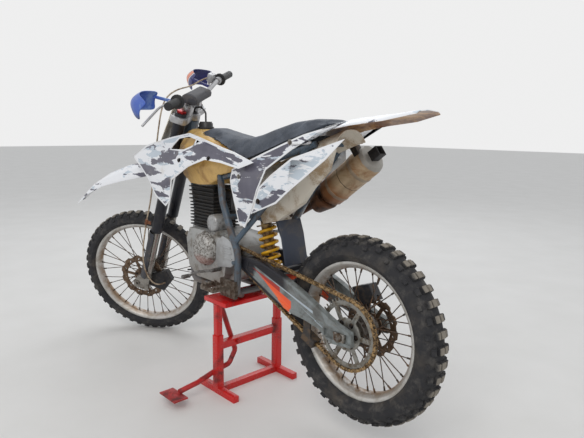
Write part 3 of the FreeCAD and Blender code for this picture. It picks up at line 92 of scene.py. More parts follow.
# %% Floor and light
WARM, COOL, PALE = (1.0, 0.98, 0.95), (0.93, 0.96, 1.0), (0.86, 0.86, 0.86)
SKY_STRENGTH, LAMP_SIZE, FLOOR_SIZE = 0.72, 3.5, 60
LIT_POINT = Vector((0, 0, 0.6))
scene.view_settings.view_transform = "Standard"
world = bpy.data.worlds.new("studio")
scene.world = world
world.use_nodes = True
sky = world.node_tree
link = sky.links.new
sky_light = sky.nodes["Background"]
sky_light.inputs["Color"].default_value = (*COOL, 1)
sky_light.inputs["Strength"].default_value = SKY_STRENGTH
backdrop = sky.nodes.new("ShaderNodeBackground")
backdrop.inputs["Color"].default_value = (*PALE, 1)
ray = sky.nodes.new("ShaderNodeLightPath")
seen = ray.outputs["Is Camera Ray"]
for kind in ("Is Glossy Ray", "Is Transmission Ray"):
    either = sky.nodes.new("ShaderNodeMath")
    either.operation = "MAXIMUM"
    link(seen, either.inputs[0])
    link(ray.outputs[kind], either.inputs[1])
    seen = either.outputs[0]
choose = sky.nodes.new("ShaderNodeMixShader")
link(seen, choose.inputs["Fac"])
link(sky_light.outputs[0], choose.inputs[1])
link(backdrop.outputs[0], choose.inputs[2])
link(choose.outputs[0], sky.nodes["World Output"].inputs["Surface"])

for place, watts, tint in (((-2.5, 3.5, 4.5), 105, WARM), ((2.5, -2.5, 4.0), 50, COOL)):
    bpy.ops.object.light_add(type="AREA", location=place)
    lamp = bpy.context.object
    lamp.data.size = LAMP_SIZE
    lamp.data.energy = watts
    lamp.data.color = tint
    lamp.rotation_euler = (LIT_POINT - lamp.location).to_track_quat("-Z", "Y").to_euler()

bpy.ops.mesh.primitive_plane_add(size=FLOOR_SIZE)
floor = bpy.context.object
floor.name = "floor"

# %% [markdown]
# ## Shader sums as Python
#
# A finish is a material whose nodes are written as calls. `Value` wraps one output, so that
# `1 - mask * 0.5` adds the Math nodes by itself.

# %% Values and finishes
def srgb(red, green, blue):
    """A colour as a screen shows it, 0 to 255, in the linear light that shaders use."""
    parts = [c / 255 for c in (red, green, blue)]
    return (*(c / 12.92 if c <= 0.04045 else ((c + 0.055) / 1.055) ** 2.4 for c in parts), 1.0)


class Value:
    """An output of a finish's nodes; sums with it add Math nodes."""

    def __init__(self, finish, socket):
        self.finish = finish
        self.socket = socket

    def sum(self, operation, first, second=0.0):
        return self.finish.node("Math", {"operation": operation}, {0: first, 1: second})

    def __add__(self, other):
        return self.sum("ADD", self, other)

    def __sub__(self, other):
        return self.sum("SUBTRACT", self, other)

    def __rsub__(self, other):
        return self.sum("SUBTRACT", other, self)

    def __mul__(self, other):
        return self.sum("MULTIPLY", self, other)

    __radd__, __rmul__ = __add__, __mul__

    def larger(self, other):
        return self.sum("MAXIMUM", self, other)

    def smaller(self, other):
        return self.sum("MINIMUM", self, other)

    def size(self):
        return self.sum("ABSOLUTE", self)


class Finish:
    """A material made by calls; `fixed` sets the shader's own sockets."""

    def __init__(self, name, **fixed):
        self.material = bpy.data.materials.new(name)
        self.material.use_nodes = True
        self.tree = self.material.node_tree
        self.shader = self.tree.nodes["Principled BSDF"]
        for socket, value in fixed.items():
            self.shader.inputs[socket.replace("_", " ")].default_value = value
        self.place = self.node("TexCoord", output="Object")
        parts = self.node("SeparateXYZ", inputs={0: self.place}, output=None)
        self.x, self.y, self.z = (Value(self, socket) for socket in parts.outputs)

    def node(self, kind, settings=None, inputs=None, output=0):
        made = self.tree.nodes.new("ShaderNode" + kind)
        for key, value in (settings or {}).items():
            setattr(made, key, value)
        for key, value in (inputs or {}).items():
            if isinstance(value, Value):
                self.tree.links.new(value.socket, made.inputs[key])
            else:
                made.inputs[key].default_value = value
        return made if output is None else Value(self, made.outputs[output])

    def turned(self, degrees=(0, 0, 0), stretch=(1, 1, 1)):
        """The place on the object, turned and then stretched, for a pattern with a direction."""
        return self.node("Mapping", inputs={
            "Vector": self.place, "Rotation": [radians(a) for a in degrees], "Scale": stretch})

    def noise(self, scale, detail=3.0, rough=0.55, wobble=0.0, at=None, seed=None):
        """A noise; with a seed it is one slice of a pattern that has others."""
        inputs = {"Vector": at or self.place, "Scale": scale, "Detail": detail,
                  "Roughness": rough, "Distortion": wobble}
        if seed is None:
            return self.node("TexNoise", inputs=inputs)
        return self.node("TexNoise", {"noise_dimensions": "4D"}, {**inputs, "W": seed})

    def cells(self, scale):
        return self.node("TexVoronoi", inputs={"Vector": self.place, "Scale": scale})

    def rise(self, value, low, high):
        """0 below low, 1 above high, and smooth between."""
        return self.node("MapRange", {"interpolation_type": "SMOOTHSTEP"},
                         {"Value": value, "From Min": low, "From Max": high})

    def mix(self, first, second, mask):
        """Two colours mixed by the mask; a plain one is written as srgb takes it."""
        first, second = (c if isinstance(c, Value) else srgb(*c) for c in (first, second))
        return self.node("Mix", {"data_type": "RGBA"}, {0: mask, 6: first, 7: second}, 2)

    def set(self, **links):
        for socket, value in links.items():
            target = self.shader.inputs[socket.replace("_", " ")]
            if isinstance(value, Value):
                self.tree.links.new(value.socket, target)
            else:
                target.default_value = value

    def bump(self, height, distance, strength=0.6):
        self.set(Normal=self.node("Bump", inputs={
            "Height": height, "Distance": distance, "Strength": strength}))

    def vector(self, operation, output, *values):
        return self.node("VectorMath", {"operation": operation},
                         dict(enumerate(values)), output)

    def along(self, point, direction):
        """How far a place lies from the point in the direction."""
        arm = self.vector("SUBTRACT", 0, self.place, point)
        return self.vector("DOT_PRODUCT", "Value", arm, direction)

    def off_axis(self, point, axis):
        """Distance from a line, such as a wheel's axle."""
        arm = self.vector("SUBTRACT", 0, self.place, point)
        return self.vector("LENGTH", "Value", self.vector("CROSS_PRODUCT", 0, arm, axis))


# %% [markdown]
# ## Plain finishes of metal, rubber and plastic
#
# A used surface is never one flat colour. Each finish here is a base colour, a slow noise for
# stains, a fine noise for grain, and a roughness that follows the stains.

# %% One recipe for worn surfaces
GRAIN, GRAIN_DEPTH = 240, 0.0002
ROAD_DIRT = (118, 98, 78)


def worn(name, base, stain, amount, scale, metal=0.0, rough=(0.35, 0.6), low_dirt=None):
    """Base colour with stains; low_dirt is a height below which road dirt gathers."""
    finish = Finish(name, Metallic=metal)
    cloud = finish.noise(scale, 5, 0.65, 0.6)
    fine = finish.noise(GRAIN, 3)
    mask = finish.rise(cloud + fine * 0.25, 0.72 - amount * 0.35, 0.95 - amount * 0.35)
    colour = finish.mix(base, stain, mask)
    if low_dirt:
        near_floor = 1 - finish.rise(finish.z + cloud * 0.12, low_dirt - 0.08, low_dirt + 0.16)
        colour = finish.mix(colour, ROAD_DIRT, near_floor * 0.55)
    finish.set(Base_Color=colour, Roughness=mask * (rough[1] - rough[0]) + rough[0])
    finish.bump(cloud * 0.6 + fine * 0.4, GRAIN_DEPTH)
    return finish


def coat(piece, finish):
    piece.data.materials.clear()
    piece.data.materials.append(finish.material)


floor_finish = Finish("floor_pale", Roughness=0.9)
floor_finish.set(Base_Color=floor_finish.mix((214, 212, 208), (226, 224, 221),
                                             floor_finish.noise(3, 4)))
coat(floor, floor_finish)

# Name, base, stains, how many and how fine, then metal, roughness and the height of road dirt
WORN = {
    "frame": ("worn_frame_paint", (72, 88, 102), (84, 66, 52), 0.35, 18, 0, (0.35, 0.65), 0.5),
    "rear_axle": ("axle_steel", (120, 116, 110), (84, 64, 48), 0.5, 40, 0.8),
    "engine_case": ("case_castings", (170, 170, 168), (128, 122, 114), 0.35, 16, 0.35,
                    (0.45, 0.7), 0.48),
    "starter_motor": ("starter_casting", (168, 168, 168), (108, 106, 104), 0.4, 40, 0.4),
    "cylinder": ("black_fins", (34, 34, 36), (58, 52, 46), 0.45, 30, 0.1, (0.5, 0.75)),
    "cylinder_head": ("black_head", (32, 32, 34), (56, 50, 44), 0.45, 30, 0.1, (0.5, 0.75)),
    "carburettor": ("dark_rubber_inlet", (34, 34, 36), (60, 54, 48), 0.4, 30),
    "exhaust_header": ("rusty_pipe", (74, 58, 48), (112, 66, 40), 0.55, 26, 0.6, (0.5, 0.8)),
    "front_sprocket": ("oily_sprocket", (96, 88, 78), (52, 44, 36), 0.5, 60, 0.7),
    "chain": ("dirty_chain", (168, 138, 96), (70, 54, 38), 0.55, 110, 0.55, (0.4, 0.7)),
    "fuel_cap": ("black_cap", (30, 30, 32), (54, 50, 46), 0.3, 60),
    "vent_hose": ("black_hose", (28, 28, 30), (50, 46, 42), 0.3, 60),
    "airbox": ("aged_airbox", (212, 204, 190), (162, 138, 108), 0.42, 9, 0, (0.5, 0.75)),
    "mudflap": ("dusty_flap", (52, 58, 72), (86, 82, 80), 0.35, 10, 0, (0.55, 0.75)),
    "shock_body": ("anodised_damper", (150, 124, 84), (84, 66, 48), 0.5, 40, 0.6),
    "shock_spring": ("yellow_spring", (238, 180, 36), (168, 112, 36), 0.28, 26, 0, (0.25, 0.5)),
    "footpegs": ("peg_steel", (112, 102, 92), (70, 54, 42), 0.6, 40, 0.6),
    "shift_lever": ("lever_steel", (120, 118, 116), (70, 62, 56), 0.4, 40, 0.7),
    "brake_pedal": ("pedal_steel", (108, 102, 96), (70, 58, 48), 0.5, 40, 0.6),
    "kick_lever": ("kick_steel", (112, 110, 108), (70, 62, 56), 0.4, 40, 0.7),
    "rear_caliper": ("dark_caliper", (40, 40, 44), (74, 64, 54), 0.4, 40, 0.2),
    "stand_base": ("red_stand", (196, 32, 30), (92, 26, 24), 0.28, 9, 0, (0.25, 0.55)),
    "stand_platform": ("red_platform", (206, 30, 30), (110, 22, 22), 0.2, 9, 0, (0.2, 0.5)),
    "stand_lever": ("red_lever", (178, 34, 34), (84, 28, 26), 0.4, 14, 0, (0.3, 0.6)),
    "lower_clamp": ("black_clamp", (36, 36, 40), (64, 60, 56), 0.3, 40, 0.3),
    "upper_clamp": ("silver_clamp", (182, 182, 184), (142, 138, 134), 0.3, 18, 0.6, (0.3, 0.5)),
    "fork_tubes": ("black_fork", (32, 34, 42), (62, 58, 56), 0.35, 24, 0.3),
    "fork_caps": ("red_cap", (176, 34, 38), (110, 30, 30), 0.3, 60, 0.6, (0.25, 0.4)),
    "fork_sliders": ("fork_chrome", (150, 146, 140), (96, 88, 80), 0.4, 20, 0.8, (0.2, 0.45)),
    "front_axle": ("axle_end", (140, 136, 130), (88, 74, 60), 0.4, 60, 0.8),
    "fork_guards": ("dark_guard", (52, 54, 62), (86, 78, 72), 0.4, 14),
    "front_plate": ("aged_plate", (226, 220, 204), (176, 160, 134), 0.35, 12),
    "handlebar": ("bar_silver", (188, 188, 190), (138, 134, 130), 0.25, 30, 0.6, (0.3, 0.5)),
    "bar_pad": ("bar_pad_cover", (54, 54, 60), (84, 80, 78), 0.3, 30, 0, (0.6, 0.8)),
    "grips": ("grip_rubber", (30, 30, 32), (56, 54, 52), 0.3, 60, 0, (0.6, 0.8)),
    "levers": ("lever_cast", (178, 178, 180), (118, 114, 110), 0.3, 60, 0.6),
    "front_caliper": ("front_black_caliper", (32, 32, 36), (66, 60, 54), 0.35, 50, 0.2),
    "rear_sprocket": ("grey_sprocket", (142, 140, 134), (96, 84, 68), 0.45, 34, 0.5),
    "front_hose": ("pale_hose", (176, 160, 138), (118, 96, 74), 0.45, 30, 0, (0.5, 0.7)),
    "chain_guide": ("guide_block", (46, 42, 40), (92, 74, 56), 0.5, 40, 0, (0.55, 0.8)),
    "front_disc": ("front_brown_disc", (112, 92, 74), (66, 50, 38), 0.5, 60, 0.6),
    "rear_disc": ("rear_brown_disc", (104, 84, 66), (60, 46, 36), 0.5, 60, 0.6),
}
looks = {node: worn(*row) for node, row in WORN.items()}

# %% [markdown]
# ## White panels with a broken dark pattern
#
# The panels carry splashes of dark grey with pale blue-grey tints and white between them.
# Two noises, stretched along the panel and pushed about by a finer one, give ragged edges.

# %% Body panels
def splashed(name, slope, seed, dark=0.5, pale=0.5, under=0.0):
    """White plastic; slope turns the splashes, and under is the dirt on faces that look down."""
    finish = Finish(name, Coat_Weight=0.25)
    along = finish.turned((0, slope, 0), (3.2, 6, 11))
    ragged = finish.noise(9, 4, 0.75, 1.2, along)
    big = finish.noise(1.7, 2, 0.5, 0.8, along, seed)
    tint = finish.noise(2.6, 3, 0.5, 1.0, along, seed + 3.7)
    shape = big + (ragged - 0.5) * 0.22
    dark_mask = finish.rise(shape, 0.62 - dark * 0.2, 0.635 - dark * 0.2)
    pale_mask = finish.rise(tint + (ragged - 0.5) * 0.3, 0.64 - pale * 0.2, 0.68 - pale * 0.2)
    grey = finish.mix((66, 64, 78), (106, 104, 118), finish.noise(16, 4, 0.7))
    colour = finish.mix((234, 235, 238), (178, 192, 204), pale_mask * 0.8)
    colour = finish.mix(colour, grey, dark_mask)
    dirt = finish.rise(finish.noise(7, 5, 0.7), 0.58, 0.8)
    colour = finish.mix(colour, (196, 184, 164), dirt * 0.5)
    if under:
        facing = finish.node("SeparateXYZ", inputs={
            0: finish.node("NewGeometry", output="Normal")}, output=2)
        mud = finish.mix((196, 150, 96), (128, 84, 52),
                         finish.rise(finish.noise(14, 5, 0.7), 0.42, 0.6))
        colour = finish.mix(colour, mud, (1 - finish.rise(facing, -0.35, -0.15)) * under)
    finish.set(Base_Color=colour, Roughness=dirt * 0.25 + 0.3)
    return finish


# Name, slope, seed, then how much is dark, how much is pale, and the dirt underneath
for node, *row in (("shrouds", "shroud_splash", 12, 2.0),
                   ("side_covers", "cover_splash", -35, 5.0, 0.6),
                   ("number_panels", "panel_splash", -38, 9.0, 0.5, 0.7),
                   ("rear_fender", "fender_splash", -12, 13.0, 0.1, 0.4, 0.9),
                   ("front_fender", "front_fender_splash", 30, 17.0, 0.15, 0.3)):
    looks[node] = splashed(*row)

tank = Finish("aged_tank", Roughness=0.38)
blotch = tank.noise(9, 5, 0.7, 0.8)
amber = tank.mix((214, 176, 106), (160, 116, 56), tank.rise(blotch, 0.4, 0.72))
tank_spots = tank.rise(tank.noise(38, 4, 0.7), 0.62, 0.74)
tank.set(Base_Color=tank.mix(amber, (92, 68, 42), tank_spots * 0.6))
tank.bump(tank.noise(60, 3), 0.0004)
looks["fuel_tank"] = tank

# %% [markdown]
# ## Swingarm paint
#
# A grey box arm, black under the chain at its front, with slim flame stripes that widen
# backwards. Each stripe is a line in the side view whose width grows from its tip.

# %% Swingarm paint
arm = Finish("swingarm_grey", Metallic=0.3)
smear = arm.noise(16, 5, 0.7, 0.5)
grey = arm.mix((132, 138, 138), (96, 96, 92), arm.rise(smear, 0.4, 0.7))
top_edge = arm.x * 0.32 + 0.634
black = arm.rise(arm.z - top_edge, -0.016, -0.013).smaller(arm.rise(arm.x, -0.37, -0.33))
black = black.larger(arm.rise(arm.x + smear * 0.06, -0.155, -0.135))
low_edge = arm.x * 0.42 + 0.578
black = black.larger(
    arm.rise(low_edge - arm.z, -0.012, -0.009).smaller(arm.rise(arm.x, -0.36, -0.32)))
grey = arm.mix(grey, (34, 34, 40), black)
# Each stripe: its tip (x, z), slope, length, how fast it widens, colour
STRIPES = ((-0.150, 0.560, 0.36, 0.170, 0.075, (176, 58, 48)),
           (-0.190, 0.540, 0.44, 0.190, 0.085, (236, 92, 54)),
           (-0.225, 0.522, 0.56, 0.150, 0.105, (240, 104, 60)),
           (-0.265, 0.500, 0.66, 0.100, 0.110, (240, 110, 66)),
           (-0.190, 0.556, 0.32, 0.300, 0.018, (186, 198, 206)),
           (-0.340, 0.500, 0.40, 0.200, 0.010, (176, 188, 196)))
for tip_x, tip_z, slope, long, spread, colour in STRIPES:
    back = (arm.x - tip_x) * -1
    line = arm.z - tip_z + back * slope
    wide = back * spread
    inside = arm.rise(wide - line.size(), 0.0, 0.0012)
    inside = inside.smaller(arm.rise(back, 0.0, 0.004)).smaller(arm.rise(long - back, 0.0, 0.004))
    grey = arm.mix(grey, colour, inside)
scuffs = arm.rise(arm.noise(42, 4, 0.75, 0.8, arm.turned((0, -22, 0), (0.4, 1, 2.5))), 0.62, 0.7)
grey = arm.mix(grey, (120, 92, 70), scuffs * 0.55)
arm.set(Base_Color=grey, Roughness=smear * 0.3 + 0.3)
arm.bump(smear, 0.0003)
looks["swingarm"] = arm

# %% [markdown]
# ## Silencer and handguards
#
# The silencer is tan from heat and dust, dark and rusty at its front cone, grey at its end cap
# and black at the outlet. How far a point lies along the can chooses between them.

# %% Silencer and handguards
CAN_LOW, CAN_HIGH = Vector((-0.285, -0.165, 0.822)), Vector((-0.505, -0.165, 0.985))
can_axis = (CAN_HIGH - CAN_LOW).normalized()
# Metres along the can: its seam, the middle of each strap, the end cap and the outlet
SEAM, STRAPS, CAP, OUTLET = 0.137, (0.071, 0.203), 0.262, 0.2775
STRAP_HALF_MM = 7.5
can = Finish("tired_can", Metallic=0.35)
along = can.along(CAN_LOW, can_axis)
can_smear = can.noise(13, 5, 0.7, 0.6)
streaks = can.noise(30, 4, 0.7, 0.3, can.turned((0, -37, 0), (0.3, 1, 1)))
tan = can.mix((186, 164, 134), (150, 112, 76),
              can.rise(can_smear * 0.6 + streaks * 0.4, 0.42, 0.62))
tan = can.mix((146, 98, 60), tan, can.rise(along + streaks * 0.08, 0.10, 0.17))
rust = can.mix((112, 76, 52), (64, 46, 38), can.rise(can_smear, 0.4, 0.6))
skin = can.mix(rust, tan, can.rise(along + can_smear * 0.05, 0.045, 0.075))
seam = can.rise((along - SEAM).size(), 0.0012, 0.0022)
skin = can.mix((98, 80, 62), skin, seam)
low_strap, high_strap = (can.rise(STRAP_HALF_MM - (along - middle).size() * 1000, 0.0, 0.8)
                         for middle in STRAPS)
skin = can.mix(skin, (150, 138, 122), low_strap.larger(high_strap) * 0.7)
cap_grey = can.mix((176, 174, 168), (126, 118, 108), can_smear)
skin = can.mix(skin, cap_grey, can.rise(along, CAP - 0.0005, CAP + 0.0005))
skin = can.mix(skin, (32, 30, 30), can.rise(along, OUTLET - 0.0005, OUTLET + 0.0005))
can.set(Base_Color=skin, Roughness=can_smear * 0.35 + 0.3)
can.bump(can_smear * 0.5 + streaks * 0.5, 0.0006)
looks["muffler"] = can

guard = Finish("blue_guards", Coat_Weight=0.15)
guard_smear = guard.noise(12, 4, 0.7, 0.5)
left_blue = guard.mix((58, 92, 178), (122, 150, 196), guard.rise(guard_smear, 0.46, 0.7))
low_shade = 1 - guard.rise(guard.z + guard_smear * 0.03, 1.125, 1.155)
left_blue = guard.mix(left_blue, (36, 48, 92), low_shade)
across_bars = guard.along(joints["steering"]["pos_m"], joints["front_wheel_spin"]["axis"])
edge = (across_bars.size() - 0.292 + guard.z * 0.2 - 0.242 + guard_smear * 0.012).size()
band = 1 - guard.rise(edge, 0.017, 0.019)
thin = guard.rise(0.003 - (edge - 0.023).size(), 0.0, 0.001)
right_blue = guard.mix((38, 40, 104), (222, 134, 104), band)
right_blue = guard.mix(right_blue, (232, 226, 222), thin)
guard.set(Base_Color=guard.mix(right_blue, left_blue, guard.rise(guard.y, -0.01, 0.01)),
          Roughness=guard_smear * 0.3 + 0.25)
looks["handguards"] = guard

# %% [markdown]
# ## Engine covers
#
# The round generator cover has lost its paint in specks, while the covers beside it are smooth.
# The distance from the generator's axis keeps the specks on the round cover.

# %% Engine covers
GENERATOR = (0.16, 0, 0.577)
casting = Finish("cover_castings", Metallic=0.35)
from_generator = casting.off_axis(GENERATOR, (0, 1, 0))
specks = casting.rise(casting.noise(95, 4, 0.8), 0.47, 0.56)
cloud = casting.noise(14, 4, 0.6)
plain_grey = casting.mix((178, 179, 180), (150, 149, 147), casting.rise(cloud, 0.42, 0.72))
speckled = casting.mix((176, 174, 170), (104, 98, 92), specks)
reddish = 1 - casting.rise(casting.z + cloud * 0.03, 0.545, 0.575)
speckled = casting.mix(speckled, (150, 104, 94), reddish * 0.6)
on_round = 1 - casting.rise(from_generator, 0.0735, 0.0745)
on_round = on_round.smaller(casting.rise(casting.y, 0.098, 0.101))
casting.set(Base_Color=casting.mix(plain_grey, speckled, on_round), Roughness=cloud * 0.3 + 0.36)
casting.bump(casting.noise(220, 3), 0.0003)
looks["engine_covers"] = casting

rusty = worn("rusty_clip", (132, 84, 58), (92, 62, 46), 0.5, 120, metal=0.3, rough=(0.6, 0.85))

# %% [markdown]
# ## Rims, tyres and seat cover
#
# The rims are dull silver with brown dirt in the well. Rubber is black-grey where it is clean
# and dusty tan on the tops of the blocks. How far a point lies from the axle tells them apart.

# %% Rims, tyres and seat cover
# Radius and half width of the rim, then radius, half width, knob height and rows of the tyre
WHEELS = {"front": {"rim": 0.280, "half": 0.025, "tyre": 0.344, "wide": 0.043, "knob": 0.011,
                    "rows": 46},
          "rear": {"rim": 0.239, "half": 0.030, "tyre": 0.330, "wide": 0.057, "knob": 0.015,
                   "rows": 42}}
for end, wheel in WHEELS.items():
    wheel["body"] = end + "_wheel"
    wheel["joint"] = joints[end + "_wheel_spin"]


def aged_rim(name, wheel):
    finish = Finish(name, Metallic=0.45)
    far = finish.off_axis(wheel["joint"]["pos_m"], wheel["joint"]["axis"])
    smear = finish.noise(16, 5, 0.7, 0.6)
    dirt = (1 - finish.rise(far + smear * 0.02, wheel["rim"] - 0.014, wheel["rim"] + 0.004)) * \
        finish.rise(smear, 0.3, 0.62)
    silver = finish.mix((198, 196, 192), (164, 158, 148), finish.rise(smear, 0.4, 0.7))
    finish.set(Base_Color=finish.mix(silver, (136, 104, 70), dirt * 0.85),
               Roughness=smear * 0.4 + 0.22)
    finish.bump(finish.noise(90, 3), 0.0002)
    return finish


def dusty_rubber(name, wheel):
    finish = Finish(name)
    top, bead = wheel["tyre"], wheel["rim"]
    far = finish.off_axis(wheel["joint"]["pos_m"], wheel["joint"]["axis"])
    smear = finish.noise(24, 4, 0.7)
    worn_top = finish.rise(far + smear * 0.006, top - 0.006, top - 0.0005)
    dark = finish.mix((38, 38, 41), (78, 75, 72), finish.rise(smear, 0.45, 0.75))
    low_wall = 1 - finish.rise(far, bead + 0.02, top - 0.02)
    dust = finish.rise(finish.noise(7, 4, 0.7), 0.5, 0.7) * low_wall
    dark = finish.mix(dark, (104, 94, 82), dust * 0.4)
    finish.set(Base_Color=finish.mix(dark, (146, 138, 126), worn_top * 0.75), Roughness=0.85)
    finish.bump(finish.noise(160, 3), 0.0004)
    return finish


for end, wheel in WHEELS.items():
    looks[end + "_tyre"] = dusty_rubber(end + "_tyre_rubber", wheel)

cover = Finish("seat_cover")
cover_smear = cover.noise(12, 4, 0.65)
pebble = cover.cells(330)
cover.set(Base_Color=cover.mix((54, 60, 70), (84, 90, 100),
                               cover.rise(cover_smear + pebble * 0.25, 0.45, 0.8)),
          Roughness=cover_smear * 0.25 + 0.5)
cover.bump(pebble, 0.0006)
looks["seat"] = cover
for name, finish in looks.items():
    coat(nodes[name], finish)
print("without a finish:", sorted(set(nodes) - set(looks) - {"front_rim", "rear_rim"}))

# %% [markdown]
# ## Working on a piece
#
# An operator acts on all that is selected, so each step first selects one piece alone.
# `modify` adds a modifier and applies it at once, and `settle` gives a finished piece its
# material, the body that it moves with, and the solid that it stands for.

# %% Small tools
record = frame["record"]
body_of = {node: body for body, names in record["behaviour"]["bodies"].items() for node in names}
slot_of = {row["node"]: row["material_slot"] for row in record["subparts"]}


def alone(piece):
    bpy.ops.object.select_all(action="DESELECT")
    piece.select_set(True)
    bpy.context.view_layer.objects.active = piece


def open_edit(piece):
    alone(piece)
    bpy.ops.object.mode_set(mode="EDIT")
    bpy.ops.mesh.select_all(action="SELECT")


def close_edit():
    bpy.ops.object.mode_set(mode="OBJECT")


def close_outward():
    """Leave edit mode with every face pointing outwards."""
    bpy.ops.mesh.select_all(action="SELECT")
    bpy.ops.mesh.normals_make_consistent(inside=False)
    close_edit()


def pick_faces(piece, wanted):
    """Open the piece with those faces selected for which wanted(face) is true."""
    open_edit(piece)
    bpy.ops.mesh.select_mode(type="FACE")
    bpy.ops.mesh.select_all(action="DESELECT")
    shape = bmesh.from_edit_mesh(piece.data)
    for face in shape.faces:
        face.select_set(wanted(face))
    bmesh.update_edit_mesh(piece.data)


def modify(piece, kind, **settings):
    alone(piece)
    modifier = piece.modifiers.new(kind.lower(), kind)
    for key, value in settings.items():
        setattr(modifier, key, value)
    bpy.ops.object.modifier_apply(modifier=modifier.name)


def smooth_below(piece, degrees):
    alone(piece)
    bpy.ops.object.shade_smooth_by_angle(angle=radians(degrees))


def bevelled(piece, width, degrees=50, segments=2):
    modify(piece, "BEVEL", width=width, segments=segments, limit_method="ANGLE",
           angle_limit=radians(degrees))
    smooth_below(piece, degrees)
    return piece


def triangles(piece):
    return sum(len(face.vertices) - 2 for face in piece.data.polygons)


def settle(piece, name, finish, body, slot, *stands_for):
    """Name, paint and mount a finished piece; stands_for are the solids that it replaces."""
    piece.name = name
    if finish:
        coat(piece, finish)
    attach(piece, body)
    if stands_for:
        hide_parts(*stands_for)
    print(name, "on", body, triangles(piece), "triangles")
    return piece


def dress(piece, name, node):
    """Settle a piece that stands for one solid, with that solid's finish and body."""
    return settle(piece, name, looks[node], body_of[node], slot_of[node], node)


def linked(name, data):
    """A new object in the scene with this mesh or curve."""
    piece = bpy.data.objects.new(name, data)
    scene.collection.objects.link(piece)
    return piece


def facing(point, direction):
    """The place at a point whose Z axis looks in the direction."""
    return Matrix.Translation(point) @ direction.to_track_quat("Z", "Y").to_matrix().to_4x4()


def joined(pieces):
    bpy.ops.object.select_all(action="DESELECT")
    for piece in pieces:
        piece.select_set(True)
    bpy.context.view_layer.objects.active = pieces[0]
    bpy.ops.object.join()
    return pieces[0]


def placed(piece, matrix):
    """A copy of the piece with its own mesh, which takes the place."""
    mesh = piece.data.copy()
    mesh.transform(matrix)
    return linked(piece.name, mesh)


def repeated(piece, places, name):
    """The piece copied to every place and joined into one; the first one is removed."""
    copies = [placed(piece, matrix) for matrix in places]
    bpy.data.objects.remove(piece)
    whole = joined(copies)
    whole.name = name
    return whole


def still(piece):
    """The piece's own move, turn and scale go into its mesh."""
    alone(piece)
    bpy.ops.object.transform_apply(location=True, rotation=True, scale=True)
    return piece


def rod(sides, radius, depth, z=0.0):
    """A cylinder along Z with its middle at height z."""
    bpy.ops.mesh.primitive_cylinder_add(vertices=sides, radius=radius, depth=depth,
                                        location=(0, 0, z))
    return still(bpy.context.object)


# %% [markdown]
# ## Round edges on the solids
#
# A real casting or tube has no razor edge: a thin line of light runs along every corner.
# The solid itself isn't touched. A copy of its mesh is merged, its flat faces are made whole,
# the sharp corners get a small bevel, and the facets of round parts are shaded as one curve.

# %% Copies with softened corners
def copy_of(node):
    piece = linked(node + "_copy", nodes[node].data.copy())
    piece.data.materials.clear()
    open_edit(piece)
    bpy.ops.mesh.remove_doubles(threshold=0.00002)
    bpy.ops.mesh.dissolve_limited(angle_limit=radians(0.8))
    bpy.ops.mesh.normals_make_consistent(inside=False)
    close_edit()
    return piece


def edged(node, width, segments=2):
    """A copy with its edges bevelled by the width in millimetres."""
    piece = copy_of(node)
    if width:
        bevelled(piece, width / 1000, segments=segments)
    else:
        smooth_below(piece, 50)
    dress(piece, node + "_edged", node)


def cast(node, voxel, rounds):
    """A form with every corner rounded over, as cast or blow-moulded parts have."""
    piece = copy_of(node)
    modify(piece, "REMESH", mode="VOXEL", voxel_size=voxel / 1000)
    modify(piece, "SMOOTH", iterations=rounds, factor=0.5)
    smooth_below(piece, 60)
    dress(piece, node + "_rounded", node)


# Width of the bevel in millimetres
EDGES = {"frame": 0, "engine_case": 2.5, "engine_covers": 1.5, "rear_axle": 0.8,
         "starter_motor": 1.2, "cylinder": 0.5, "cylinder_head": 0.5, "carburettor": 1.5,
         "exhaust_header": 0.5, "front_sprocket": 0.4, "fuel_cap": 2.0, "vent_hose": 0.5,
         "mudflap": 1.2, "shock_body": 0.8, "footpegs": 0.6, "shift_lever": 1.0, "brake_pedal": 1.0,
         "kick_lever": 1.0, "stand_base": 1.5, "stand_platform": 2.0, "stand_lever": 1.0,
         "lower_clamp": 2.0, "upper_clamp": 2.0, "fork_tubes": 1.0, "fork_caps": 1.0,
         "fork_sliders": 1.5, "front_axle": 0.8, "fork_guards": 1.0, "front_plate": 1.0,
         "handlebar": 0.5, "grips": 1.2, "levers": 1.0, "chain_guide": 1.5, "rear_sprocket": 0.5,
         "front_disc": 0.4, "rear_disc": 0.4, "front_fender": 1.2, "rear_fender": 1.2}
for node, width in EDGES.items():
    edged(node, width)
edged("chain", 0.5, 1)
cast("fuel_tank", 5.0, 8)
cast("rear_caliper", 2.0, 5)
cast("front_caliper", 2.0, 4)

# %% [markdown]
# ## Panels with a printed sheet and a white edge
#
# The graphics on a dirt bike's panels are a printed sheet that stops a few millimetres short
# of the edge. The outer face of each panel is inset, and the rim that this leaves stays white.

# %% Panels
white = Finish("panel_white", Coat_Weight=0.2)
white_dirt = white.rise(white.noise(11, 5, 0.7), 0.5, 0.78)
white.set(Base_Color=white.mix((233, 234, 236), (190, 172, 144), white_dirt * 0.6),
          Roughness=white_dirt * 0.3 + 0.3)


def prism(outline, low, high):
    """A side-view outline, carried across the bike from low to high."""
    bpy.ops.mesh.primitive_circle_add(vertices=len(outline), fill_type="NGON")
    piece = bpy.context.object
    for vertex, (x, z) in zip(piece.data.vertices, outline):
        vertex.co = (x, low, z)
    open_edit(piece)
    bpy.ops.mesh.extrude_region_move(TRANSFORM_OT_translate={"value": (0, high - low, 0)})
    close_outward()
    return piece


def cut_by(piece, cutter):
    modify(piece, "BOOLEAN", operation="DIFFERENCE", object=cutter, solver="EXACT")
    bpy.data.objects.remove(cutter)


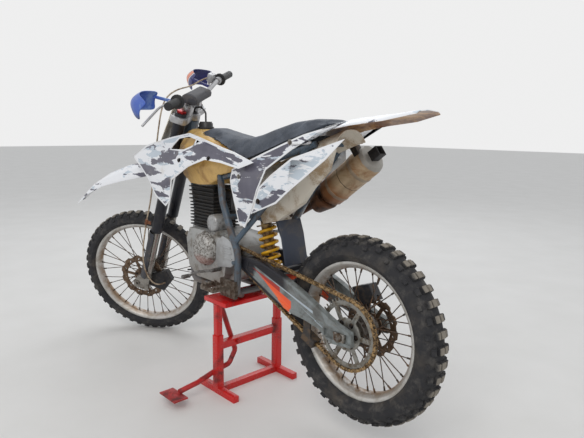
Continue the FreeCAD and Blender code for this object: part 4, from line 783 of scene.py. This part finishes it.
def panelled(node, border, opening=None):
    """A panel whose outer faces carry the sheet, up to a border in millimetres."""
    piece = copy_of(node)
    if opening:
        for side in (1, -1):
            cut_by(piece, prism(opening, side * 0.06, side * 0.30))
    coat(piece, white)
    piece.data.materials.append(looks[node].material)
    pick_faces(piece, lambda face: copysign(1, face.calc_center_median().y)
               * face.normal.y > 0.75)
    bpy.ops.mesh.inset(thickness=border / 1000, depth=0, use_even_offset=False)
    shape = bmesh.from_edit_mesh(piece.data)
    for face in shape.faces:
        if face.select:
            face.material_index = 1
    bmesh.update_edit_mesh(piece.data)
    close_edit()
    smooth_below(piece, 40)
    settle(piece, node + "_edged", None, body_of[node], slot_of[node], node)


TANK_WINDOW = ((0.292, 0.993), (0.262, 1.037), (0.205, 1.046), (0.120, 1.029), (0.152, 1.012),
               (0.205, 0.994))
panelled("shrouds", 8, TANK_WINDOW)
panelled("side_covers", 6)
panelled("number_panels", 7)

# %% [markdown]
# ## Airbox, inner fender and silencer
#
# The airbox fills the left of the space behind the engine, and the silencer has the right. Seen
# from behind, the box is a side wall with a hollow beside it, so a block is cut from the copy.
# Above it, the inner fender is a grid bent into an arch. The silencer's outlet is a square tube,
# so its end face is inset and pushed in.

# %% Airbox, inner fender and silencer
def block(size, place, width=0.0, tilt=0.0):
    """A box with bevelled corners; tilt turns it in the side view."""
    bpy.ops.mesh.primitive_cube_add(size=1, location=place)
    piece = bpy.context.object
    piece.scale = size
    piece.rotation_euler.y = radians(tilt)
    still(piece)
    if width:
        bevelled(piece, width, 40)
    return piece


HOLLOW, HOLLOW_AT, HOLLOW_TILT = (0.48, 0.105, 0.15), (-0.378, -0.0145, 0.892), 46.2
airbox = copy_of("airbox")
cut_by(airbox, block(HOLLOW, HOLLOW_AT, tilt=HOLLOW_TILT))
dress(bevelled(airbox, 0.004), "airbox_hollow", "airbox")

FENDER_BACK, FENDER_LONG, FENDER_HALF, FENDER_WIDER = -0.545, 0.255, 0.076, 0.014
FENDER_TOP, FENDER_FALL, FENDER_ARCH = 1.083, 0.098, 0.042
bpy.ops.mesh.primitive_grid_add(x_subdivisions=14, y_subdivisions=12, size=2)
inner = bpy.context.object
for vertex in inner.data.vertices:
    u, v = (vertex.co.x + 1) / 2, vertex.co.y
    top = FENDER_TOP - FENDER_FALL * u ** 1.2
    vertex.co = (FENDER_BACK + FENDER_LONG * u, v * (FENDER_HALF + FENDER_WIDER * u),
                 top - FENDER_ARCH * abs(v) ** 2.6)
modify(inner, "SOLIDIFY", thickness=0.003, offset=-1)
smooth_below(inner, 40)
settle(inner, "inner_fender", looks["airbox"], "chassis", "airbox_plastic")

OUTLET_WALL, OUTLET_DEPTH = 0.004, 0.035
muffler = copy_of("muffler")
outlet = max(muffler.data.polygons, key=lambda face: (face.center - CAN_LOW).dot(can_axis)).index
pick_faces(muffler, lambda face: face.index == outlet)
bpy.ops.mesh.inset(thickness=OUTLET_WALL, depth=0)
bpy.ops.mesh.inset(thickness=0.0005, depth=-OUTLET_DEPTH)
close_edit()
dress(bevelled(muffler, 0.0008), "muffler_edged", "muffler")

bpy.ops.mesh.primitive_cone_add(vertices=32, radius1=0.034, radius2=0.054, depth=0.075)
cone = bevelled(still(bpy.context.object), 0.004, 40)
cone.data.transform(facing(CAN_LOW - can_axis * 0.034, can_axis))
settle(cone, "silencer_cone", looks["muffler"], "chassis", slot_of["muffler"])

# %% [markdown]
# ## Spring and brake hose
#
# The spring is a small ring of wire carried round and along the shock by the Screw modifier.
# The front brake hose is clipped to the fork, so its route is fixed: a smooth curve through the
# points where it is held, with a round section.

# %% Spring and brake hose
SHOCK_TOP, SHOCK_LOW = Vector((-0.106, 0, 0.735)), Vector((-0.164, 0, 0.497))
COILS, COIL_R, WIRE_R, TURN_STEPS = 6, 0.0335, 0.0062, 32
TOP_SEAT, LOW_SEAT = 0.036, 0.026
shock_axis = (SHOCK_LOW - SHOCK_TOP).normalized()
spring_long = (SHOCK_LOW - SHOCK_TOP).length - TOP_SEAT - LOW_SEAT - 2 * WIRE_R
bpy.ops.mesh.primitive_circle_add(vertices=12, radius=WIRE_R, location=(COIL_R, 0, 0),
                                  rotation=(pi / 2, 0, 0))
spring = still(bpy.context.object)
modify(spring, "SCREW", axis="Z", angle=2 * pi * COILS, screw_offset=spring_long,
       steps=TURN_STEPS * COILS, render_steps=TURN_STEPS * COILS, use_normal_calculate=True)
open_edit(spring)
bpy.ops.mesh.select_mode(type="EDGE")
bpy.ops.mesh.select_all(action="DESELECT")
bpy.ops.mesh.select_non_manifold()
bpy.ops.mesh.edge_face_add()
close_outward()
spring.data.transform(facing(SHOCK_TOP + shock_axis * (TOP_SEAT + WIRE_R), shock_axis))
smooth_below(spring, 50)
dress(spring, "spring_coil", "shock_spring")

fork_up = Vector(joints["steering"]["axis"])
fork_across = Vector(joints["front_wheel_spin"]["axis"])
fork_ahead = fork_across.cross(fork_up).normalized()
FORK = axes_at(joints["steering"]["pos_m"], fork_ahead, fork_across, fork_up)
# In millimetres on the fork: ahead, across, up
HOSE = ((36, -222, 1024), (60, -190, 1008), (84, -150, 978), (122, -60, 965), (128, 40, 945),
        (112, 112, 905), (98, 134, 800), (84, 136, 640), (70, 136, 477), (72, 134, 355),
        (62, 138, 200), (31, 143, 103), (-16, 137, 42), (-52, 112, 26), (-64, 76, 24))
HOSE_R = 0.0035
route = bpy.data.curves.new("hose_route", "CURVE")
route.dimensions = "3D"
line = route.splines.new("NURBS")
line.points.add(len(HOSE) - 1)
for point, place in zip(line.points, HOSE):
    point.co = (*(FORK @ (Vector(place) / 1000)), 1)
line.order_u = 3
line.use_endpoint_u = True
route.bevel_depth = HOSE_R
route.bevel_resolution = 3
route.use_fill_caps = True
alone(linked("hose_line", route))
bpy.ops.object.convert(target="MESH")
dress(bpy.context.object, "front_hose_round", "front_hose")

# From the inner end outwards, on the fork: across, then how far ahead at the four heights
GUARD_UP = (0.935, 0.962, 0.990, 1.018)
GUARD = ((0.214, 0.096, 0.108, 0.110, 0.094), (0.252, 0.128, 0.148, 0.148, 0.128),
         (0.300, 0.150, 0.176, 0.174, 0.146), (0.356, 0.130, 0.152, 0.150, 0.120),
         (0.396, 0.078, 0.092, 0.088, 0.062))
guards = []
for side in (1, -1):
    bpy.ops.mesh.primitive_grid_add(x_subdivisions=4, y_subdivisions=3, size=2)
    shell = bpy.context.object
    for vertex in shell.data.vertices:
        across, *ahead = GUARD[round((vertex.co.x + 1) * 2)]
        row = round((vertex.co.y + 1) * 1.5)
        vertex.co = FORK @ Vector((ahead[row], side * across, GUARD_UP[row]))
    modify(shell, "SUBSURF", levels=3, render_levels=3)
    if side < 0:
        open_edit(shell)
        bpy.ops.mesh.flip_normals()
        close_edit()
    modify(shell, "SOLIDIFY", thickness=0.0028, offset=-1)
    bevelled(shell, 0.0008, 60)
    stay = block((0.114, 0.010, 0.013), (0, 0, 0), 0.003)
    stay.data.transform(FORK @ Matrix.Translation((0.060, side * 0.2055, 0.9905))
                        @ Matrix.Rotation(side * 0.28, 4, "Z"))
    guards += [shell, stay]
dress(joined(guards), "handguards_smooth", "handguards")

clip = joined([bevelled(rod(20, 0.0075, 0.026), 0.0015, 40),
               block((0.022, 0.006, 0.016), (-0.012, 0, 0), 0.001)])
clip.data.transform(FORK @ Matrix.Translation((0.0715, 0.134, 0.362)))
settle(clip, "hose_clip", rusty, "fork", "steel")

# %% [markdown]
# ## Swingarm
#
# At its rear end each arm has a slot in which the axle's block slides to tighten the chain.
# A box cut with the Boolean modifier makes the slot, and a bevelled block sits in it.

# %% Swingarm
ARM_OUT, SLOT = 0.112, (0.124, 0.018, 0.032)
AXLE = Vector(joints["rear_wheel_spin"]["pos_m"])
swingarm = copy_of("swingarm")
for side in (1, -1):
    cut_by(swingarm, block(SLOT, (AXLE.x + 0.006, side * ARM_OUT, AXLE.z)))
dress(bevelled(swingarm, 0.0015), "swingarm_edged", "swingarm")

bolt_steel = worn("bolt_steel", (150, 146, 140), (92, 74, 58), 0.45, 80, metal=0.8)
dark_bolt = worn("dark_bolt", (44, 42, 42), (86, 66, 50), 0.4, 80, metal=0.5)
blocks = joined([block((0.046, 0.012, 0.03), (AXLE.x, side * (ARM_OUT - 0.003), AXLE.z), 0.0012)
                 for side in (1, -1)])
settle(blocks, "axle_blocks", bolt_steel, "chassis", "steel")

bracket = block((0.026, 0.034, 0.075), (-0.452, -0.128, 1.022), 0.003, 38)
settle(bracket, "silencer_bracket", dark_bolt, "chassis", "dark_metal")

# %% [markdown]
# ## Tyres
#
# A knobby tyre has rows of blocks: by turns a centre block with one at each side, and a pair
# with one at each side. The carcass is a profile spun about the axle. One block is modelled,
# narrower at its top and with its edges taken off, and copied to every place in the pattern.

# %% Tyres
KNOB_SUNK = 0.0015


def wheel_place(wheel):
    """From a wheel modelled about the Y axis to its place on the bike."""
    axle = Vector(wheel["joint"]["axis"]).normalized()
    up = fork_up if wheel["body"] == "front_wheel" else Vector((0, 0, 1))
    ahead = axle.cross(up).normalized()
    return axes_at(wheel["joint"]["pos_m"], ahead, axle, ahead.cross(axle))


def spun(name, profile, steps):
    """A closed profile of (distance from the axle, place along it), spun about the Y axis."""
    mesh = bpy.data.meshes.new(name)
    count = len(profile)
    edges = [(i, (i + 1) % count) for i in range(count)]
    mesh.from_pydata([(r, y, 0) for r, y in profile], edges, [])
    piece = linked(name, mesh)
    open_edit(piece)
    bpy.ops.mesh.spin(steps=steps, angle=2 * pi, center=(0, 0, 0), axis=(0, 1, 0))
    bpy.ops.mesh.select_all(action="SELECT")
    bpy.ops.mesh.remove_doubles(threshold=0.00002)
    close_outward()
    return piece


def both_halves(half):
    """A profile from the middle outwards, with its mirror image after it."""
    return half + [(r, -y) for r, y in reversed(half) if y > 0]


def knob_block(length, width, height):
    """One block with its height along X, its top narrower and inset."""
    piece = block((height, width, length), (0, 0, 0))
    pick_faces(piece, lambda face: face.normal.x > 0.9)
    bpy.ops.transform.resize(value=(1, 0.84, 0.86))
    bpy.ops.mesh.inset(thickness=width * 0.12, depth=-0.0008)
    close_edit()
    return bevelled(piece, 0.0011, 40, 1)


def knob_place(wheel, turn, tilt):
    """Where a block sits: turn about the axle, tilt from the middle towards a side."""
    crown, wide = wheel["tyre"] - wheel["knob"], wheel["wide"]
    lean, middle = radians(tilt), wheel["knob"] / 2 - KNOB_SUNK
    out = crown - wide * 0.80 + (wide * 0.80 + middle) * cos(lean)
    side = (wide * 0.84 + middle) * sin(lean)
    return (Matrix.Rotation(radians(turn), 4, "Y") @ Matrix.Translation((out, side, 0))
            @ Matrix.Rotation(lean, 4, "Z"))


# Even and odd rows: a block's length and width as shares of a row, and the tilts that it sits at
ROWS = (((0.36, 0.30, (56, -56)), (0.50, 0.36, (22, -22)), (0.50, 0.44, (0,))),
        ((0.46, 0.36, (40, -40)), (0.50, 0.40, (12, -12))))


def knobby(name, wheel):
    rim, half, wide = wheel["rim"], wheel["half"], wheel["wide"]
    crown = wheel["tyre"] - wheel["knob"]
    rise = crown - rim
    carcass = spun(name + "_carcass", both_halves([
        (crown, 0), (crown - rise * 0.02, wide * 0.22), (crown - rise * 0.07, wide * 0.45),
        (crown - rise * 0.17, wide * 0.68), (crown - rise * 0.32, wide * 0.85),
        (crown - rise * 0.50, wide * 0.93), (crown - rise * 0.62, wide * 0.94),
        (crown - rise * 0.66, wide * 0.97), (crown - rise * 0.70, wide * 0.94),
        (crown - rise * 0.82, wide * 0.86), (rim + 0.006, half + 0.010),
        (rim + 0.0035, half + 0.003), (rim - 0.001, half - 0.0004),
        (rim - 0.009, half - 0.004)]), 96)
    smooth_below(carcass, 50)
    place = wheel_place(wheel)
    down = place.inverted().to_3x3() @ Vector((0, 0, -1))
    first = degrees(atan2(-down.z, down.x))
    step = 360 / wheel["rows"]
    size = 2 * pi * wheel["tyre"] / wheel["rows"]
    pieces = [carcass]
    for kind, blocks in enumerate(ROWS):
        for length, width, tilts in blocks:
            knob = knob_block(size * length, size * width, wheel["knob"])
            places = [knob_place(wheel, first + step * i, tilt)
                      for i in range(kind, wheel["rows"], 2) for tilt in tilts]
            pieces.append(repeated(knob, places, name + "_knobs"))
    tyre = joined(pieces)
    tyre.data.transform(place)
    dress(tyre, name, name)
    print(name, "lowest point", round(min(v.co.z for v in tyre.data.vertices) * 1000, 1), "mm")


knobby("front_tyre", WHEELS["front"])
knobby("rear_tyre", WHEELS["rear"])

# %% [markdown]
# ## Rims, spokes and hubs
#
# An aluminium rim is one profile spun about the axle. Its 36 wire spokes cross between the
# hub's flanges, each with a nipple at the rim, so one spoke is modelled and copied.

# %% Rims, spokes and hubs
SPOKES, CROSS, SPOKE_R = 36, radians(38), 0.0019
# Radius of the barrel and of the flange, then how far out the flange and the hub's end lie
HUBS = {"front": (0.022, 0.034, 0.028, 0.071), "rear": (0.034, 0.048, 0.034, 0.083)}


def one_spoke(length):
    wire = rod(8, SPOKE_R, length, length / 2)
    nipple = bevelled(rod(8, 0.0034, 0.016, length - 0.009), 0.0008, 60, 1)
    spoke = joined([wire, nipple])
    smooth_below(spoke, 50)
    return spoke


def turned_metal(name, profile, steps, degrees, finish, wheel, node):
    """A spun part of a wheel, mounted; it stands for the wheel's rim node with others."""
    piece = spun(name, both_halves(profile), steps)
    smooth_below(piece, degrees)
    piece.data.transform(wheel_place(wheel))
    settle(piece, name, finish, wheel["body"], "rim_metal", node)


def wheel_metal(end, wheel):
    rim, half, node = wheel["rim"], wheel["half"], end + "_rim"
    turned_metal(end + "_rim_ring", [
        (rim - 0.0093, half - 0.0037), (rim - 0.002, half - 0.0006), (rim + 0.0008, half + 0.0006),
        (rim + 0.0012, half + 0.0022), (rim, half + 0.003), (rim - 0.006, half + 0.0022),
        (rim - 0.0115, half - 0.001), (rim - 0.014, half - 0.005), (rim - 0.019, half * 0.62),
        (rim - 0.0225, half * 0.45), (rim - 0.0245, half * 0.30)],
        128, 50, rim_finish[end], wheel, node)
    barrel, flange, flange_y, end_y = HUBS[end]
    turned_metal(end + "_hub", [
        (0.0103, end_y), (barrel * 0.66, end_y), (barrel * 0.7, end_y - 0.001),
        (barrel * 0.78, flange_y + 0.008), (barrel * 0.9, flange_y + 0.006),
        (flange - 0.001, flange_y + 0.006), (flange, flange_y + 0.005),
        (flange, flange_y + 0.001), (flange - 0.001, flange_y),
        (barrel + 0.004, flange_y - 0.006), (barrel, flange_y - 0.011)],
        48, 40, hub_finish[end], wheel, node)
    places, low_r, high_r = [], flange - 0.004, rim - 0.022
    for i in range(SPOKES):
        side, lean = (1 if i % 2 else -1), (1 if i % 4 < 2 else -1)
        a = 2 * pi * i / SPOKES
        b = a - lean * CROSS
        low = Vector((low_r * cos(b), side * (flange_y + 0.003), low_r * sin(b)))
        high = Vector((high_r * cos(a), side * 0.004, high_r * sin(a)))
        places.append(facing(low, high - low))
    spokes = repeated(one_spoke((high - low).length), places, end + "_spokes")
    spokes.data.transform(wheel_place(wheel))
    settle(spokes, end + "_spokes", spoke_finish, wheel["body"], "rim_metal", node)


spoke_finish = worn("spoke_wire", (66, 58, 52), (112, 84, 62), 0.5, 30, metal=0.55)
rim_finish, hub_finish = {}, {}
for end, wheel in WHEELS.items():
    rim_finish[end] = aged_rim(end + "_rim_alloy", wheel)
    hub_finish[end] = worn(end + "_hub_cast", (92, 86, 80), (58, 48, 40), 0.5, 40, metal=0.4)
    wheel_metal(end, wheel)

VALVE_TURN, VALVE_IN = {"front": 205, "rear": 250}, 0.038
for end, wheel in WHEELS.items():
    stem = bevelled(rod(12, 0.0042, 0.034), 0.001, 40)
    valve = joined([stem, bevelled(rod(6, 0.0085, 0.007, -0.012), 0.0008, 40)])
    out = Matrix.Rotation(radians(VALVE_TURN[end]), 4, "Y")
    valve.data.transform(wheel_place(wheel) @ out
                         @ Matrix.Translation((wheel["rim"] - VALVE_IN, 0, 0))
                         @ Matrix.Rotation(-pi / 2, 4, "Y"))
    settle(valve, end + "_valve", dark_bolt, wheel["body"], "dark_metal")

# %% [markdown]
# ## Seat and bar pad
#
# A seat is foam under a stretched cover, so its corners are round and its faces swell a little.
# The solid's shape is remeshed evenly and blown up by the cloth simulation, and no point may
# move further than a few millimetres, which keeps it on its rails and clear of the tank.

# %% Padded pieces
PRESSURE, MOMENTS = 4.0, 20


def puffed(node, voxel, cap, start_in, rounds):
    """The solid remeshed, moved in a little and blown up; no point moves further than cap."""
    piece = copy_of(node)
    modify(piece, "REMESH", mode="VOXEL", voxel_size=voxel)
    modify(piece, "SMOOTH", iterations=rounds, factor=0.5)
    mesh = piece.data
    for vertex, normal in zip(mesh.vertices, [n.vector.copy() for n in mesh.vertex_normals]):
        vertex.co = vertex.co - normal * start_in
    before = [vertex.co.copy() for vertex in mesh.vertices]
    cloth = piece.modifiers.new("cloth", "CLOTH")
    cloth.settings.use_pressure = True
    cloth.settings.uniform_pressure_force = PRESSURE
    cloth.settings.effector_weights.gravity = 0
    cloth.point_cache.frame_start = 1
    cloth.point_cache.frame_end = MOMENTS
    for moment in range(1, MOMENTS + 1):
        scene.frame_set(moment)
    alone(piece)
    bpy.ops.object.modifier_apply(modifier="cloth")
    for vertex, old in zip(piece.data.vertices, before):
        move = vertex.co - old
        if move.length > cap:
            vertex.co = old + move * (cap / move.length)
    scene.frame_set(1)
    modify(piece, "SUBSURF", levels=1, render_levels=1)
    smooth_below(piece, 180)
    return piece


seat = puffed("seat", 0.006, 0.007, 0.004, 8)
dress(seat, "seat_padded", "seat")
pad = puffed("bar_pad", 0.004, 0.003, 0.001, 2)
dress(pad, "bar_pad_padded", "bar_pad")

# %% [markdown]
# ## Bolts, clamp and small fittings
#
# Panels, discs and the sprocket are held by bolts with a round flange under a six-sided head.
# One is modelled, and a ray sent at the surface finds where each copy sits and how it faces.

# %% Bolts
def one_bolt(radius):
    flange = rod(20, radius, 0.0022, 0.0009)
    head = rod(6, radius * 0.66, 0.005, 0.0042)
    pick_faces(head, lambda face: face.normal.z > 0.9)
    bpy.ops.mesh.inset(thickness=radius * 0.22, depth=-0.0012)
    close_edit()
    return bevelled(joined([flange, head]), 0.0004, 40, 1)


def bolts(name, radius, node, spots, finish, slot="steel"):
    """Bolts where rays meet a solid; spots are (start, direction)."""
    places = []
    mesh = nodes[node].data
    surface = BVHTree.FromPolygons([v.co for v in mesh.vertices],
                                   [f.vertices for f in mesh.polygons])
    for start, direction in spots:
        point, normal, *_ = surface.ray_cast(Vector(start), Vector(direction).normalized())
        if point:
            places.append(facing(point, normal))
    print(name, len(places), "of", len(spots))
    settle(repeated(one_bolt(radius), places, name), name, finish, body_of[node], slot)


def from_sides(spots, *sides):
    """Rays across the bike, from its left (1) or its right (-1)."""
    return [((x, side * 0.4, z), (0, -side, 0)) for side in sides for x, z in spots]


def round_axle(wheel, radius, turn, side):
    """Six rays along the wheel's axle, on a circle round it."""
    place = wheel_place(wheel)
    rays = []
    for i in range(6):
        a = radians(turn + 60 * i)
        start = place @ Vector((radius * cos(a), side * 0.3, radius * sin(a)))
        rays.append((start, place.to_3x3() @ Vector((0, -side, 0))))
    return rays


bolts("shroud_bolts", 0.009, "shrouds", from_sides([(0.215, 0.95), (0.03, 0.965)], 1, -1),
      dark_bolt)
bolts("cover_bolts", 0.009, "side_covers", from_sides([(-0.13, 0.905), (-0.44, 1.04)], 1, -1),
      bolt_steel)
bolts("number_panel_bolts", 0.010, "number_panels", from_sides([(-0.252, 0.825)], 1), dark_bolt)
# Name, radius, what carries them, the wheel, the circle's radius, its turn and the side
for name, radius, node, end, circle, turn, side in (
        ("sprocket_bolts", 0.009, "rear_sprocket", "rear", 0.042, 0, 1),
        ("front_disc_bolts", 0.007, "front_disc", "front", 0.036, 5.57, 1),
        ("rear_disc_bolts", 0.007, "rear_disc", "rear", 0.036, 0, -1)):
    bolts(name, radius, node, round_axle(WHEELS[end], circle, turn, side), dark_bolt)
COVER_CIRCLE = 0.071
angles = [radians(30 + 60 * i) for i in range(6)]
bolts("engine_bolts", 0.006, "engine_covers",
      from_sides([(GENERATOR[0] + COVER_CIRCLE * cos(a),
                   GENERATOR[2] + COVER_CIRCLE * sin(a)) for a in angles], 1),
      bolt_steel, "case_metal")

# %% Check that no solid is left bare
shown = sorted(name for name, node in nodes.items() if not node.hide_render)
print("solids still shown:", shown)

# %% Update the scene
bpy.context.view_layer.update()
